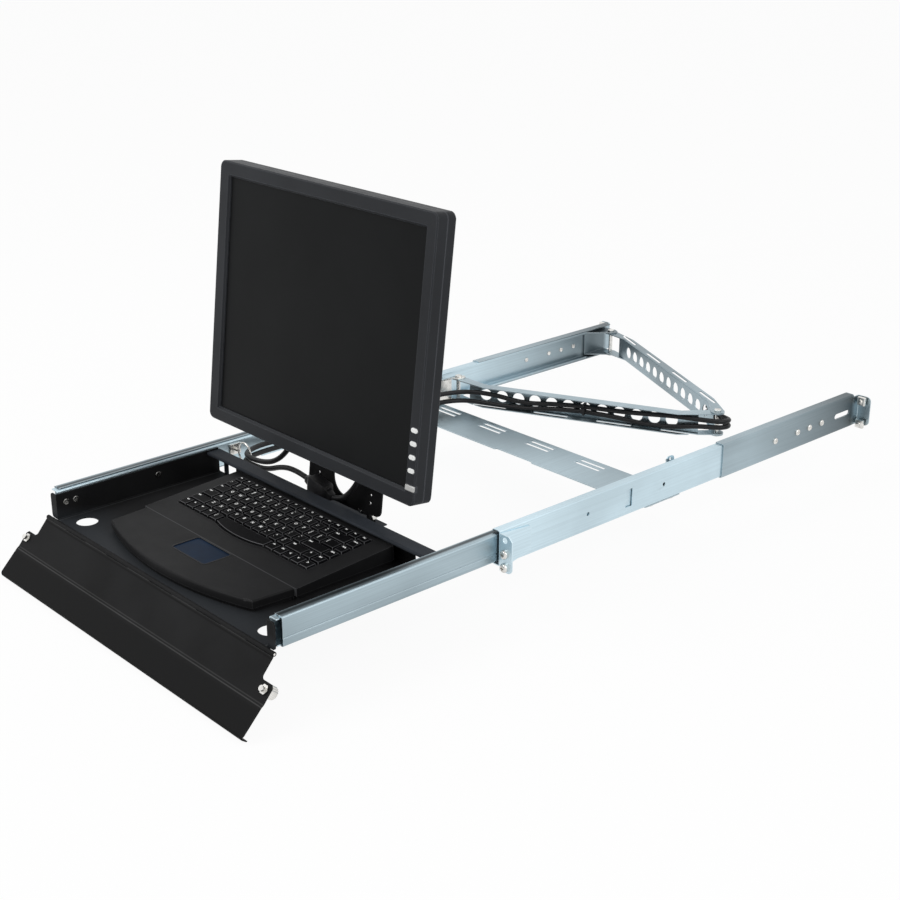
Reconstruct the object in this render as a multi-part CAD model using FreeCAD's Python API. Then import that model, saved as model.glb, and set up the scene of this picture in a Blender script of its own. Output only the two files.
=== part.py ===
"""Pull-out rack tray with a keyboard, a fold-back flat monitor, ball-bearing rails and a cable arm.

Millimetres. X runs to the right, Y from the front of the rack to its back, Z up. The origin is the
middle of the front mounting plane, level with the middle hole of the rack unit that the rails use.
The tray is drawn out, the monitor stands up and the front panel hangs open.
"""
import FreeCAD, Part
import math
import os

V = FreeCAD.Vector
ALONG_X = V(1, 0, 0)
ALONG_Y = V(0, 1, 0)
ALONG_Z = V(0, 0, 1)
SIDES = {"left": -1, "right": 1}

# Rack standard
HOLE_COLUMN = 232.55
HOLE_PITCH = 15.875
RACK_DEPTH = 660.7
UPRIGHT_SHEET = 2.5
RACK_HOLE_R = 3.5

# Running and seating clearances
RUNNING_FIT = 0.05
SLIDE_GAP = 0.3
FLANGE_GAP = 0.2

# Outer rails
RAIL_Z = 2.5
OUTER_FACE = 223.0
OUTER_HEIGHT = 41.5
OUTER_WIDTH = 12.0
OUTER_SHEET = 1.5
OUTER_LIP = 3.1
OUTER_LENGTH = 600.0
RAIL_BEND = 1.0
LATCH_Y = 207.5
LATCH_LENGTH = 11.0
LATCH_HEIGHT = 22.0
RAIL_HOLES_Y = (138.4, 269.2)
RAIL_HOLE_R = 2.2

# Front brackets
BRACKET_SHEET = 1.5
BRACKET_OUTER = 243.0
BRACKET_HEIGHT = 43.0
BRACKET_LEG = 46.0
BRACKET_CHAMFER = 5.0
BRACKET_CORNER = 6.0

# Rear extensions
EXTENSION_FRONT = 377.0
EXTENSION_SHEET = 1.5
EXTENSION_WIDTH = 11.0
EXTENSION_END_GAP = 8.7
EXTENSION_BOLTS_Y = (482.0, 529.0, 554.5, 581.0)
BOLT_HEAD_R = 4.2
BOLT_HEAD = 2.2
RIVET_HEAD = 1.0
END_SLOT_INSET = 33.7
END_SLOT_LENGTH = 32.0
END_SLOT_WIDTH = 7.0

# Cross brace under the outer rails
BRACE_FRONT = 238.0
BRACE_DEPTH = 64.0
BRACE_SHEET = 1.5
BRACE_STEP = 3.0
BRACE_STEP_HALF = 33.0
BRACE_SLOT_PITCH = 88.5
BRACE_SLOT_LENGTH = 41.0
BRACE_SLOT_WIDTH = 5.5
BRACE_SLOT_ROWS = (44.0, 54.0)
BRACE_SCREW_ROWS = (14.0, 50.0)

# Slide members and inner rails of the tray
MEMBER_FACE = 219.6
BALL_TRACK = 2.75
MEMBER_WIDTH = 12.1
MEMBER_SHEET = 1.6
MEMBER_FRONT = -285.0
MEMBER_REAR = 305.0
MEMBER_GROOVE_Z = -3.9
MEMBER_GROOVE = 0.5
INNER_FRONT = -290.0
INNER_WIDTH = 11.0
INNER_SHEET = 1.5
STOP_TAB = 14.0
STOP_TAB_RISE = 7.0
STOP_EYE_R = 2.0

# Ball cages between the outer rails and the slide members
CAGE_FRONT = 50.0
CAGE_LENGTH = 210.0
CAGE_SHEET = 0.8
CAGE_WIDTH = 7.4
BALL_COUNT = 2

# Tray pan
TRAY_HALF = 205.5
TRAY_SHEET = 1.5
TRAY_FRONT = -292.5
FLOOR_TOP = -16.5
WALL_TOP = 13.8
WALL_TAB = 10.5
WALL_TAB_CORNER = 4.0
REAR_WALL_HALF = 166.0
REAR_WALL_TOP = 6.0
FLOOR_HOLE_R = 12.5
FLOOR_HOLE_X = 177.0
FLOOR_HOLE_Y = -270.0
WALL_SCREWS_Y = (-280.0, -267.5, -157.0)
WALL_SCREW_HEAD_R = 3.8
WALL_SCREW_HEAD = 1.0

# Rear bar and the base of the monitor hinge
BAR_TOP = 12.3
BAR_FRONT = -87.0
BAR_REAR = -68.0
BAR_SHEET = 1.5
BAR_LIP = 3.0
BAR_WEB_HALF = 110.0
BAR_LEG_X = 186.0
BAR_LEG_WIDTH = 8.0
HINGE_BASE_HALF = 60.0
HINGE_BASE_Z = -16.0
HINGE_BASE_REAR = -21.0

# Front panel and its piano hinge
HINGE_Y = -296.0
HINGE_Z = -17.0
PANEL_HALF = 240.4
PANEL_NECK_HALF = 220.0
PANEL_SHEET = 1.5
PANEL_UPPER = 46.3
PANEL_LOWER = 37.0
PANEL_SLOPE = 49.8
PANEL_CREASE = 3.9
PANEL_STEP = 0.8
PANEL_STEP_RUN = 2.5
PANEL_PULL = 9.0
PANEL_BEND = 2.0
PANEL_NECK = 25.4
PANEL_CORNER = 4.0
BARREL_R = 2.5
BARREL_PIN_R = 1.25
KNUCKLES = 10
LEAF_DEPTH = 12.0
LEAF_SHEET = 1.2
LEAF_INSET = 15.0
HINGE_SWEEP = 5.0
THUMB_R = 3.0
THUMB_KNOB_R = 7.0
THUMB_KNOB = 10.0
THUMB_FLATS = 18
THUMB_REACH = 6.0
THUMB_NUT_R = 5.4
THUMB_NUT = 1.5

# Keyboard
KEYBOARD_REAR = -82.0
PALM_STEP_Y = -212.6
PALM_STEP_IN = 3.5
PALM_CORNER_Y = -262.0
PALM_CORNER_IN = 7.5
PALM_FRONT_Y = -286.0
PALM_TOP = -3.3
KEYBOARD_SPLIT = -12.0
KEYBOARD_BASE_INSET = 1.5
KEY_SLOPE = 3.6
PALM_ROUND = 2.0
KEY_FIELD_UNITS = 16
KEY_FIELD_SHIFT = -2.0
KEY_FIELD_MARGIN = 22.0
KEY_FIELD_FRONT = 32.6
KEY_UNIT = 15.25
KEY_ROW_PITCH = 15.7
KEY_GAP = 1.8
KEY_RISE = 2.0
KEY_TRAVEL = 2.0
KEY_TAPER = 0.9
KEY_WELL = 2.6
KEY_WELL_MARGIN = 1.2
KEY_STEM = 4.0
KEY_STEM_LENGTH = 3.6
FUNCTION_ROW_DEPTH = 11.0
TOUCHPAD_WIDTH = 62.0
TOUCHPAD_DEPTH = 35.0
TOUCHPAD_X = 1.0
TOUCHPAD_Y = -232.5
TOUCHPAD_SINK = 0.6
TOUCHPAD_SHEET = 1.6
TOUCHPAD_CORNER = 4.0
SPACE_BAR_BOW = 9.0

# Widths of the keys in each row, in key units, from the left; the space bar is a row of its own
KEY_ROWS = {
    "bottom": (0, [1, 1, 1, 1, 1, None, 1, 1, 1, 1, 1, 1, 1]),
    "shift": (1, [2, 1, 1, 1, 1, 1, 1, 1, 1, 1, 1, 2, 1, 1]),
    "home": (2, [1.5, 1, 1, 1, 1, 1, 1, 1, 1, 1, 1, 1, 2.5, 1]),
    "letter": (3, [1.5, 1, 1, 1, 1, 1, 1, 1, 1, 1, 1, 1, 1, 1.5, 1]),
    "number": (4, [1, 1, 1, 1, 1, 1, 1, 1, 1, 1, 1, 1, 1, 2, 1]),
    "function": (5, [1] * KEY_FIELD_UNITS),
}
SPACE_BAR_UNITS = 4
SPACE_BAR_START = 5

# Monitor, drawn upright about the bottom edge of its face and then leaned back
FACE_Y = -91.4
FACE_Z = 65.1
LEAN = 6.83
MONITOR_WIDTH = 374.1
MONITOR_HEIGHT = 306.8
MONITOR_EDGE = 28.5
MONITOR_CORNER = 8.0
SCREEN_WIDTH = 338.5
SCREEN_HEIGHT = 272.6
SCREEN_X = 1.0
SCREEN_BOTTOM = 16.8
BEZEL_DEPTH = 14.0
BEZEL_LIP = 4.0
BEZEL_BEVEL = 2.5
BEZEL_EDGE = 1.2
LCD_MARGIN = 4.5
LCD_THICKNESS = 7.0
BACK_DEPTH = 62.5
BACK_BOTTOM = 45.0
BACK_TOP = 245.0
BACK_HALF = 150.0
BACK_DRAFT = 16.0
BACK_CORNER = 14.0
BACK_EDGE = 4.0
VENT_COUNT = 19
VENT_LENGTH = 40.0
VENT_WIDTH = 3.5
VENT_PITCH = 13.0
VENT_DEPTH = 4.0
MENU_BUTTON_X = 179.8
MENU_BUTTON_U = (82.1, 67.7, 53.1, 38.6)
MENU_BUTTON_LENGTH = 9.5
MENU_BUTTON_WIDTH = 5.0
POWER_BUTTON_X = 179.9
POWER_BUTTON_U = 19.9
POWER_BUTTON_LENGTH = 13.4
POWER_BUTTON_WIDTH = 6.0
BUTTON_PROUD = 1.4
BUTTON_TRAVEL = 1.0
BUTTON_SINK = 2.4
BUTTON_GAP = 0.2
BUTTON_EDGE = 0.5

# Monitor bracket and hinge
BRACKET_PLATE = 2.0
BRACKET_HALF = 66.5
BRACKET_BOTTOM = -61.0
BRACKET_TOP = 218.0
BRACKET_ROUND = 8.0
BRACKET_FLANGE = 10.0
BRACKET_FLANGE_FROM = 25.0
CABLE_HOLE_R = 21.0
CABLE_HOLE_U = -32.0
VESA_HALF = 50.0
VESA_U = 153.0
VESA_HEAD_R = 4.0
VESA_HEAD = 2.4
TILT_AXIS_DEPTH = 69.0
TILT_AXIS_U = -63.8
TILT_EAR_X = 46.3
TILT_EAR_R = 6.5
TILT_PIN_R = 2.5
TILT_PIN_HEAD_R = 4.5
TILT_PIN_HEAD = 2.5
LUG_WIDTH = 6.0
LUG_R = 4.2
SIDE_HOLES_X = 47.5
SIDE_HOLES_U = (-48.0, -38.5)
SIDE_HOLE_R = 1.8

# Cable arm: two equal channel arms, front pivot on the tray, rear pivot on the left extension
PIVOT_X = -200.0
PIVOT_FRONT_Y = 327.3
PIVOT_INSET = 20.0
ELBOW_X = 130.0
ARM_SHEET = 1.2
ARM_TOP = 17.0
ARM_BOTTOM = -15.0
FRONT_ARM_WEB = 11.0
FRONT_ARM_EDGE = 27.0
REAR_ARM_WEB = 5.0
REAR_ARM_EDGE = 17.0
ARM_LUG_R = 9.0
ARM_WEB_END = 22.0
ARM_TAPER = 46.0
ARM_HOLE_R = 8.2
ARM_HOLE_PITCH = 23.8
ARM_HOLE_FIRST = 46.0
ARM_HOLE_COUNT = 12
ARM_SLOT_LENGTH = 48.0
ARM_SLOT_WIDTH = 4.6
ARM_SLOT_PITCH = 88.5
ARM_SLOT_FIRST = 30.0
ARM_SLOT_COUNT = 4
ARM_PIN_R = 2.8
ARM_PIN_HEAD_R = 5.0
ARM_PIN_HEAD = 2.0
ARM_BRACKET_SHEET = 1.5
FRONT_BRACKET_LENGTH = 36.0
REAR_BRACKET_LENGTH = 44.0
REAR_SLOT_PLAY = 3.2

# Leads
LEAD_D = 6.5
LEAD_LEVEL = 1.0
LEAD_GAP = 0.7
TIE_HOLE = 6
TIE_SHEET = 0.8
TIE_WIDTH = 2.5
RING_X = -184.0
RING_Y = -45.0
RING_Z = 6.0
RING_R = 13.0
RING_WIRE = 2.4
RING_FLATS = 16
RING_FOOT_HALF = 8.0
RING_FOOT_RISE = 7.0
RING_STEM_RISE = 3.0
CLIP_Y = (60.0, 180.0)
CLIP_SHEET = 1.0
CLIP_WIDTH = 8.0
COUPLER_BOOT = 9.0
COUPLER_FLANGE = 4.0
COUPLER_DEPTH = 13.0
COUPLER_HEIGHT = 15.0
PLUG_LENGTH = 30.0
PLUG_WIDTH = 9.0
PLUG_HEIGHT = 7.0
PLUG_TIP = 4.0
PLUG_BOOT = 8.0
PLUG_NOSE = 8.0
PLUG_TIP_SETBACK = 5.0
PLUG_TIP_INSET = 2.0
SOCKET_X = (-78.0, 48.0)
SOCKET_DEPTH = 50.0
MONITOR_PLUG_U = 40.0
MONITOR_PLUG_LENGTH = 18.0
MONITOR_PLUG_WIDTH = 16.0
MONITOR_PLUG_THICKNESS = 12.0
MONITOR_PLUG_BOOT = 6.0

# Sizes worked out from the ones above
OUTER_TOP = RAIL_Z + OUTER_HEIGHT / 2
OUTER_BOTTOM = RAIL_Z - OUTER_HEIGHT / 2
MEMBER_HEIGHT = OUTER_HEIGHT - 2 * (OUTER_SHEET + BALL_TRACK)
MEMBER_TOP = RAIL_Z + MEMBER_HEIGHT / 2
MEMBER_BOTTOM = RAIL_Z - MEMBER_HEIGHT / 2
BALL_R = BALL_TRACK / 2 - RUNNING_FIT
TRAY_REAR = BAR_REAR - BAR_SHEET
EXTENSION_CHANNEL_END = RACK_DEPTH - EXTENSION_END_GAP
PIVOT_REAR_Y = RACK_DEPTH - PIVOT_INSET
ARM_SPAN = PIVOT_REAR_Y - PIVOT_FRONT_Y
ARM_LENGTH = math.hypot(ELBOW_X - PIVOT_X, ARM_SPAN / 2)
ARM_ANGLE = math.degrees(math.atan2(ARM_SPAN / 2, ELBOW_X - PIVOT_X))
ELBOW_Y = PIVOT_FRONT_Y + ARM_SPAN / 2
FLANGE_REAR_Y = RACK_DEPTH + UPRIGHT_SHEET
EAR_SCREW = HOLE_PITCH - HINGE_Z
KEY_BASE = KEY_RISE - KEY_TRAVEL - SLIDE_GAP
KEY_FIELD_HALF = KEY_FIELD_UNITS * KEY_UNIT / 2
KEY_FIELD_LEFT = KEY_FIELD_SHIFT - KEY_FIELD_HALF
KEYBOARD_HALF = KEY_FIELD_HALF + KEY_FIELD_MARGIN
PALM_STEP_HALF = KEYBOARD_HALF - PALM_STEP_IN
PALM_CORNER_HALF = KEYBOARD_HALF - PALM_CORNER_IN
VIDEO_LEAD_Z = LEAD_LEVEL + (LEAD_D + LEAD_GAP) / 2
POWER_LEAD_Z = LEAD_LEVEL - (LEAD_D + LEAD_GAP) / 2


def box(x0, x1, y0, y1, z0, z1):
    """Box between two corners."""
    return Part.makeBox(x1 - x0, y1 - y0, z1 - z0, V(x0, y0, z0))


def rod(radius, start, end):
    """Round bar between two points."""
    return Part.makeCylinder(radius, (end - start).Length, start, end - start)


def in_xz(y):
    """Placer for an outline drawn in X and Z."""
    return lambda p: V(p.x, y, p.y)


def in_yz(x):
    """Placer for an outline drawn in Y and Z."""
    return lambda p: V(x, p.x, p.y)


def in_xy(z):
    """Placer for an outline drawn in X and Y."""
    return lambda p: V(p.x, p.y, z)


def outline(points, place):
    """Closed wire through (u, v, radius) corners, each rounded to its own radius."""
    corners = []
    count = len(points)
    for i, (u, v, radius) in enumerate(points):
        corner = V(u, v, 0)
        before = V(points[i - 1][0], points[i - 1][1], 0)
        after = V(points[(i + 1) % count][0], points[(i + 1) % count][1], 0)
        into = (corner - before).normalize()
        out = (after - corner).normalize()
        turn = into.getAngle(out)
        if radius == 0 or turn < 1e-6:
            corners.append((corner, None, corner))
            continue
        reach = radius * math.tan(turn / 2)
        inward = (out - into).normalize()
        crown = corner + inward * (radius / math.cos(turn / 2) - radius)
        corners.append((corner - into * reach, crown, corner + out * reach))
    edges = []
    for i, (start, crown, end) in enumerate(corners):
        if crown is not None:
            edges.append(Part.Arc(place(start), place(crown), place(end)).toShape())
        following = corners[(i + 1) % count][0]
        if (following - end).Length > 1e-6:
            edges.append(Part.LineSegment(place(end), place(following)).toShape())
    return Part.Wire(edges)


def prism(points, place, direction):
    """Solid drawn from a rounded outline."""
    return Part.Face(outline(points, place)).extrude(direction)


def rectangle(u0, u1, v0, v1, radius=0.0):
    """Corners of a rectangle, each with the same radius."""
    return [(u0, v0, radius), (u1, v0, radius), (u1, v1, radius), (u0, v1, radius)]


def folded(path, thickness, bend):
    """Corners of a sheet folded along an open path; the sheet lies to the left of the path."""
    right = []
    left = []
    last = len(path) - 1
    points = [V(u, v, 0) for u, v in path]
    for i, point in enumerate(points):
        if i == 0 or i == last:
            heading = (points[1] - point if i == 0 else point - points[i - 1]).normalize()
            right.append((point.x, point.y, 0))
            side = point + V(-heading.y, heading.x, 0) * thickness
            left.append((side.x, side.y, 0))
            continue
        into = (point - points[i - 1]).normalize()
        out = (points[i + 1] - point).normalize()
        turn = into.getAngle(out)
        turns_left = into.x * out.y - into.y * out.x > 0
        miter = V(-into.y - out.y, into.x + out.x, 0).normalize() * (thickness / math.cos(turn / 2))
        side = point + miter
        right.append((point.x, point.y, bend + thickness if turns_left else bend))
        left.append((side.x, side.y, bend if turns_left else bend + thickness))
    return right + left[::-1]


def slot(length, width, centre, direction, depth):
    """Round-ended slot through a sheet: length along direction, cut along depth."""
    along = V(direction).normalize()
    reach = along * (length - width) / 2
    across = along.cross(V(depth).normalize()) * (width / 2)
    start = centre - reach
    end = centre + reach
    edges = [
        Part.LineSegment(start + across, end + across).toShape(),
        Part.Arc(end + across, end + along * (width / 2), end - across).toShape(),
        Part.LineSegment(end - across, start - across).toShape(),
        Part.Arc(start - across, start - along * (width / 2), start + across).toShape(),
    ]
    return Part.Face(Part.Wire(edges)).extrude(depth)


def on_side(shape, side):
    """The right-hand shape, or its mirror image on the left."""
    return shape if side > 0 else shape.mirror(V(0, 0, 0), ALONG_X)


def fused(shapes):
    """One solid from overlapping or touching shapes."""
    return shapes[0].multiFuse(shapes[1:]).removeSplitter()


def outer_rail():
    """Right outer rail: a channel with lips that keep the balls in, open towards the tray."""
    inside = OUTER_FACE - OUTER_WIDTH
    path = [
        (inside, OUTER_BOTTOM + OUTER_LIP),
        (inside, OUTER_BOTTOM),
        (OUTER_FACE, OUTER_BOTTOM),
        (OUTER_FACE, OUTER_TOP),
        (inside, OUTER_TOP),
        (inside, OUTER_TOP - OUTER_LIP),
    ]
    rail = prism(folded(path, OUTER_SHEET, RAIL_BEND / 2), in_xz(0), ALONG_Y * OUTER_LENGTH)
    web = OUTER_FACE - OUTER_SHEET
    latch = box(web - 1, OUTER_FACE + 1, LATCH_Y - LATCH_LENGTH / 2, LATCH_Y + LATCH_LENGTH / 2,
                RAIL_Z - LATCH_HEIGHT / 2, RAIL_Z + LATCH_HEIGHT / 2)
    cuts = [latch]
    for y in RAIL_HOLES_Y:
        cuts.append(rod(RAIL_HOLE_R, V(web - 1, y, RAIL_Z), V(OUTER_FACE + 1, y, RAIL_Z)))
    return rail.cut(Part.makeCompound(cuts))


def front_bracket():
    """Right front bracket: a plate on the rack's front face, with a leg along the outer rail."""
    path = [(OUTER_FACE, BRACKET_LEG), (OUTER_FACE, -BRACKET_SHEET), (BRACKET_OUTER, -BRACKET_SHEET)]
    half = BRACKET_HEIGHT / 2
    sheet = prism(folded(path, BRACKET_SHEET, RAIL_BEND), in_xy(-half), ALONG_Z * BRACKET_HEIGHT)
    face = [
        (OUTER_FACE, -half, 0),
        (BRACKET_OUTER, -half, BRACKET_CORNER),
        (BRACKET_OUTER, half - BRACKET_CHAMFER, 0),
        (BRACKET_OUTER - BRACKET_CHAMFER, half, 0),
        (OUTER_FACE, half, 0),
    ]
    plate = sheet.common(prism(face, in_xz(-BRACKET_SHEET), ALONG_Y * (BRACKET_LEG + BRACKET_SHEET)))
    leg = [
        (0, -half, 0),
        (BRACKET_LEG, OUTER_BOTTOM + BRACKET_CORNER, BRACKET_CORNER / 2),
        (BRACKET_LEG, OUTER_TOP - BRACKET_CORNER, BRACKET_CORNER / 2),
        (0, half, 0),
        (-BRACKET_SHEET, half, 0),
        (-BRACKET_SHEET, -half, 0),
    ]
    plate = plate.common(prism(leg, in_yz(OUTER_FACE), ALONG_X * (BRACKET_OUTER - OUTER_FACE)))
    holes = []
    for z in (-HOLE_PITCH, 0, HOLE_PITCH):
        holes.append(rod(RACK_HOLE_R, V(HOLE_COLUMN, -BRACKET_SHEET - 1, z), V(HOLE_COLUMN, 1, z)))
    return plate.cut(Part.makeCompound(holes))


def rear_extension():
    """Right rear extension: a channel round the outer rail, with a flange behind the rack upright."""
    face = OUTER_FACE + EXTENSION_SHEET
    inside = OUTER_FACE - EXTENSION_WIDTH
    top = OUTER_TOP + EXTENSION_SHEET
    bottom = OUTER_BOTTOM - EXTENSION_SHEET
    path = [(inside, bottom), (face, bottom), (face, top), (inside, top)]
    channel = prism(folded(path, EXTENSION_SHEET, RAIL_BEND), in_xz(EXTENSION_FRONT),
                    ALONG_Y * (EXTENSION_CHANNEL_END - EXTENSION_FRONT))
    back = FLANGE_REAR_Y + EXTENSION_SHEET
    turn = [(BRACKET_OUTER, back), (OUTER_FACE, back), (OUTER_FACE, EXTENSION_CHANNEL_END - 1)]
    half = BRACKET_HEIGHT / 2
    flange = prism(folded(turn, EXTENSION_SHEET, RAIL_BEND), in_xy(-half), ALONG_Z * BRACKET_HEIGHT)
    trim = [
        (OUTER_FACE, OUTER_BOTTOM, 0),
        (BRACKET_OUTER, OUTER_BOTTOM, BRACKET_CORNER),
        (BRACKET_OUTER, half, BRACKET_CORNER),
        (OUTER_FACE, half, 0),
    ]
    flange = flange.common(prism(trim, in_xz(EXTENSION_CHANNEL_END - 1), ALONG_Y * RACK_DEPTH))
    cuts = []
    for z in (-HOLE_PITCH, HOLE_PITCH):
        cuts.append(rod(RACK_HOLE_R, V(HOLE_COLUMN, FLANGE_REAR_Y - 1, z), V(HOLE_COLUMN, back + 1, z)))
    end = V(OUTER_FACE - 1, RACK_DEPTH - END_SLOT_INSET, RAIL_Z)
    cuts.append(slot(END_SLOT_LENGTH, END_SLOT_WIDTH, end, ALONG_Y, ALONG_X * (EXTENSION_SHEET + 2)))
    return fused([channel, flange]).cut(Part.makeCompound(cuts))


def hexagon(radius, start, end):
    """Six-sided head or nut between two points on its axis."""
    axis = end - start
    side = V(-axis.y, axis.x, 0) if abs(axis.z) < axis.Length / 2 else V(1, 0, 0)
    side = side.normalize() * radius
    turn = [FreeCAD.Rotation(axis, 60 * step).multVec(side) for step in range(7)]
    return Part.Face(Part.makePolygon([start + corner for corner in turn])).extrude(axis)


def rail_bolts():
    """Bolt heads and rivet tails that join the extensions to the outer rails, and the brace's screw heads."""
    solids = []
    for side in SIDES.values():
        for y in EXTENSION_BOLTS_Y:
            inner = V(OUTER_FACE - OUTER_SHEET, y, RAIL_Z)
            outer = V(OUTER_FACE + EXTENSION_SHEET, y, RAIL_Z)
            solids.append(on_side(hexagon(BOLT_HEAD_R, outer, outer + ALONG_X * BOLT_HEAD), side))
            solids.append(on_side(hexagon(BOLT_HEAD_R, inner - ALONG_X * RIVET_HEAD, inner), side))
        for row in BRACE_SCREW_ROWS:
            foot = V(OUTER_FACE - OUTER_WIDTH / 2, BRACE_FRONT + row, OUTER_BOTTOM - BRACE_SHEET)
            solids.append(on_side(hexagon(BOLT_HEAD_R, foot - ALONG_Z * BOLT_HEAD, foot), side))
    return Part.makeCompound(solids)


def cross_brace():
    """Flat brace under both outer rails, with pairs of long slots and a stepped front edge."""
    half = OUTER_FACE - 1
    rear = BRACE_FRONT + BRACE_DEPTH
    edge = [
        (-half, BRACE_FRONT, 3),
        (-BRACE_STEP_HALF, BRACE_FRONT, 0),
        (-BRACE_STEP_HALF, BRACE_FRONT + BRACE_STEP, 0),
        (BRACE_STEP_HALF, BRACE_FRONT + BRACE_STEP, 0),
        (BRACE_STEP_HALF, BRACE_FRONT, 0),
        (half, BRACE_FRONT, 3),
        (half, rear, 3),
        (-half, rear, 3),
    ]
    sheet = prism(edge, in_xy(OUTER_BOTTOM - BRACE_SHEET), ALONG_Z * BRACE_SHEET)
    below = OUTER_BOTTOM - BRACE_SHEET - 1
    cuts = []
    for step in range(-2, 3):
        for row in BRACE_SLOT_ROWS:
            x = step * BRACE_SLOT_PITCH
            y = BRACE_FRONT + row
            half = BRACE_SLOT_LENGTH / 2
            cuts.append(box(x - half, x + half, y - BRACE_SLOT_WIDTH / 2, y + BRACE_SLOT_WIDTH / 2,
                            below, OUTER_BOTTOM + 1))
    return sheet.cut(Part.makeCompound(cuts))


def slide_member():
    """Right slide member: the channel that runs in the outer rail and carries the tray."""
    inside = MEMBER_FACE - MEMBER_WIDTH
    path = [
        (inside, MEMBER_BOTTOM),
        (MEMBER_FACE, MEMBER_BOTTOM),
        (MEMBER_FACE, MEMBER_TOP),
        (inside, MEMBER_TOP),
    ]
    length = MEMBER_REAR - MEMBER_FRONT
    member = prism(folded(path, MEMBER_SHEET, RAIL_BEND), in_xz(MEMBER_FRONT), ALONG_Y * length)
    groove = [
        (MEMBER_FACE, MEMBER_GROOVE_Z - 2 * MEMBER_GROOVE, 0),
        (MEMBER_FACE, MEMBER_GROOVE_Z + 2 * MEMBER_GROOVE, 0),
        (MEMBER_FACE - MEMBER_GROOVE, MEMBER_GROOVE_Z, 0),
    ]
    return member.cut(prism(groove, in_xz(MEMBER_FRONT), ALONG_Y * length))


def inner_rail(with_stop):
    """Right inner rail: nests in the slide member and takes the tray wall's screws."""
    top = MEMBER_TOP - MEMBER_SHEET
    bottom = MEMBER_BOTTOM + MEMBER_SHEET
    outside = TRAY_HALF + INNER_WIDTH
    path = [(outside, top), (TRAY_HALF, top), (TRAY_HALF, bottom), (outside, bottom)]
    rail = prism(folded(path, INNER_SHEET, RAIL_BEND), in_xz(INNER_FRONT),
                 ALONG_Y * (MEMBER_REAR - INNER_FRONT))
    if with_stop:
        tab = [
            (MEMBER_REAR - STOP_TAB, top - 3, 0),
            (MEMBER_REAR, top - 3, 0),
            (MEMBER_REAR, MEMBER_TOP + STOP_TAB_RISE, STOP_TAB / 3),
            (MEMBER_REAR - STOP_TAB, MEMBER_TOP + STOP_TAB_RISE, STOP_TAB / 3),
        ]
        ear = prism(tab, in_yz(TRAY_HALF), ALONG_X * INNER_SHEET)
        eye = V(TRAY_HALF - 1, MEMBER_REAR - STOP_TAB / 2, MEMBER_TOP + STOP_TAB_RISE / 2)
        rail = fused([rail, ear]).cut(rod(STOP_EYE_R, eye, eye + ALONG_X * (INNER_SHEET + 2)))
    return rail


def ball_cage():
    """Right ball cage with its two rows of balls, between the outer rail and the slide member."""
    middle = OUTER_TOP - OUTER_SHEET - BALL_TRACK / 2
    mirror = 2 * RAIL_Z - middle
    web = (MEMBER_FACE + OUTER_FACE - OUTER_SHEET + CAGE_SHEET) / 2
    inside = web - CAGE_WIDTH
    path = [
        (inside, mirror - CAGE_SHEET / 2),
        (web, mirror - CAGE_SHEET / 2),
        (web, middle + CAGE_SHEET / 2),
        (inside, middle + CAGE_SHEET / 2),
    ]
    cage = prism(folded(path, CAGE_SHEET, CAGE_SHEET / 4), in_xz(CAGE_FRONT), ALONG_Y * CAGE_LENGTH)
    row_x = (inside + web) / 2 - CAGE_SHEET
    pitch = CAGE_LENGTH / BALL_COUNT
    pocket = BALL_R + RUNNING_FIT
    pockets = []
    balls = []
    for step in range(BALL_COUNT):
        y = CAGE_FRONT + (step + 0.5) * pitch
        pockets.append(box(row_x - pocket, row_x + pocket, y - pocket, y + pocket,
                           mirror - BALL_R, middle + BALL_R))
        balls.append(Part.makeSphere(BALL_R, V(row_x, y, middle)))
        balls.append(Part.makeSphere(BALL_R, V(row_x, y, mirror)))
    return Part.makeCompound([cage.cut(Part.makeCompound(pockets))] + balls)


def tray_pan():
    """Folded tray: floor, two side walls with tabs over the rail ends, and a short wall at the back."""
    floor = FLOOR_TOP - TRAY_SHEET
    path = [
        (-TRAY_HALF, WALL_TOP),
        (-TRAY_HALF, floor),
        (TRAY_HALF, floor),
        (TRAY_HALF, WALL_TOP),
    ]
    depth = TRAY_REAR - TRAY_FRONT
    pan = prism(folded(path, TRAY_SHEET, RAIL_BEND), in_xz(TRAY_FRONT), ALONG_Y * depth)
    lip = [(TRAY_REAR - 8, floor), (TRAY_REAR, floor), (TRAY_REAR, REAR_WALL_TOP)]
    rear_wall = prism(folded(lip, TRAY_SHEET, RAIL_BEND), in_yz(-REAR_WALL_HALF),
                      ALONG_X * 2 * REAR_WALL_HALF)
    corner = box(-REAR_WALL_HALF, REAR_WALL_HALF, TRAY_REAR - 4, TRAY_REAR + 1, floor - 1, FLOOR_TOP + 1)
    pieces = [pan.cut(corner), rear_wall]
    inside = TRAY_HALF - TRAY_SHEET
    tab = [
        (inside, FLOOR_TOP, 0),
        (TRAY_HALF + WALL_TAB, FLOOR_TOP, WALL_TAB_CORNER),
        (TRAY_HALF + WALL_TAB, WALL_TOP, WALL_TAB_CORNER),
        (inside, WALL_TOP, 0),
    ]
    cuts = []
    for side in SIDES.values():
        pieces.append(on_side(prism(tab, in_xz(TRAY_FRONT), ALONG_Y * TRAY_SHEET), side))
        x = side * FLOOR_HOLE_X
        cuts.append(rod(FLOOR_HOLE_R, V(x, FLOOR_HOLE_Y, floor - 1), V(x, FLOOR_HOLE_Y, FLOOR_TOP + 1)))
    return fused(pieces).cut(Part.makeCompound(cuts))


def wall_screws():
    """Heads of the screws that hold the tray walls to the inner rails."""
    solids = []
    for side in SIDES.values():
        for y in WALL_SCREWS_Y:
            start = V(TRAY_HALF - TRAY_SHEET, y, RAIL_Z)
            solids.append(on_side(hexagon(WALL_SCREW_HEAD_R, start - ALONG_X * WALL_SCREW_HEAD, start), side))
    return Part.makeCompound(solids)


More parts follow.
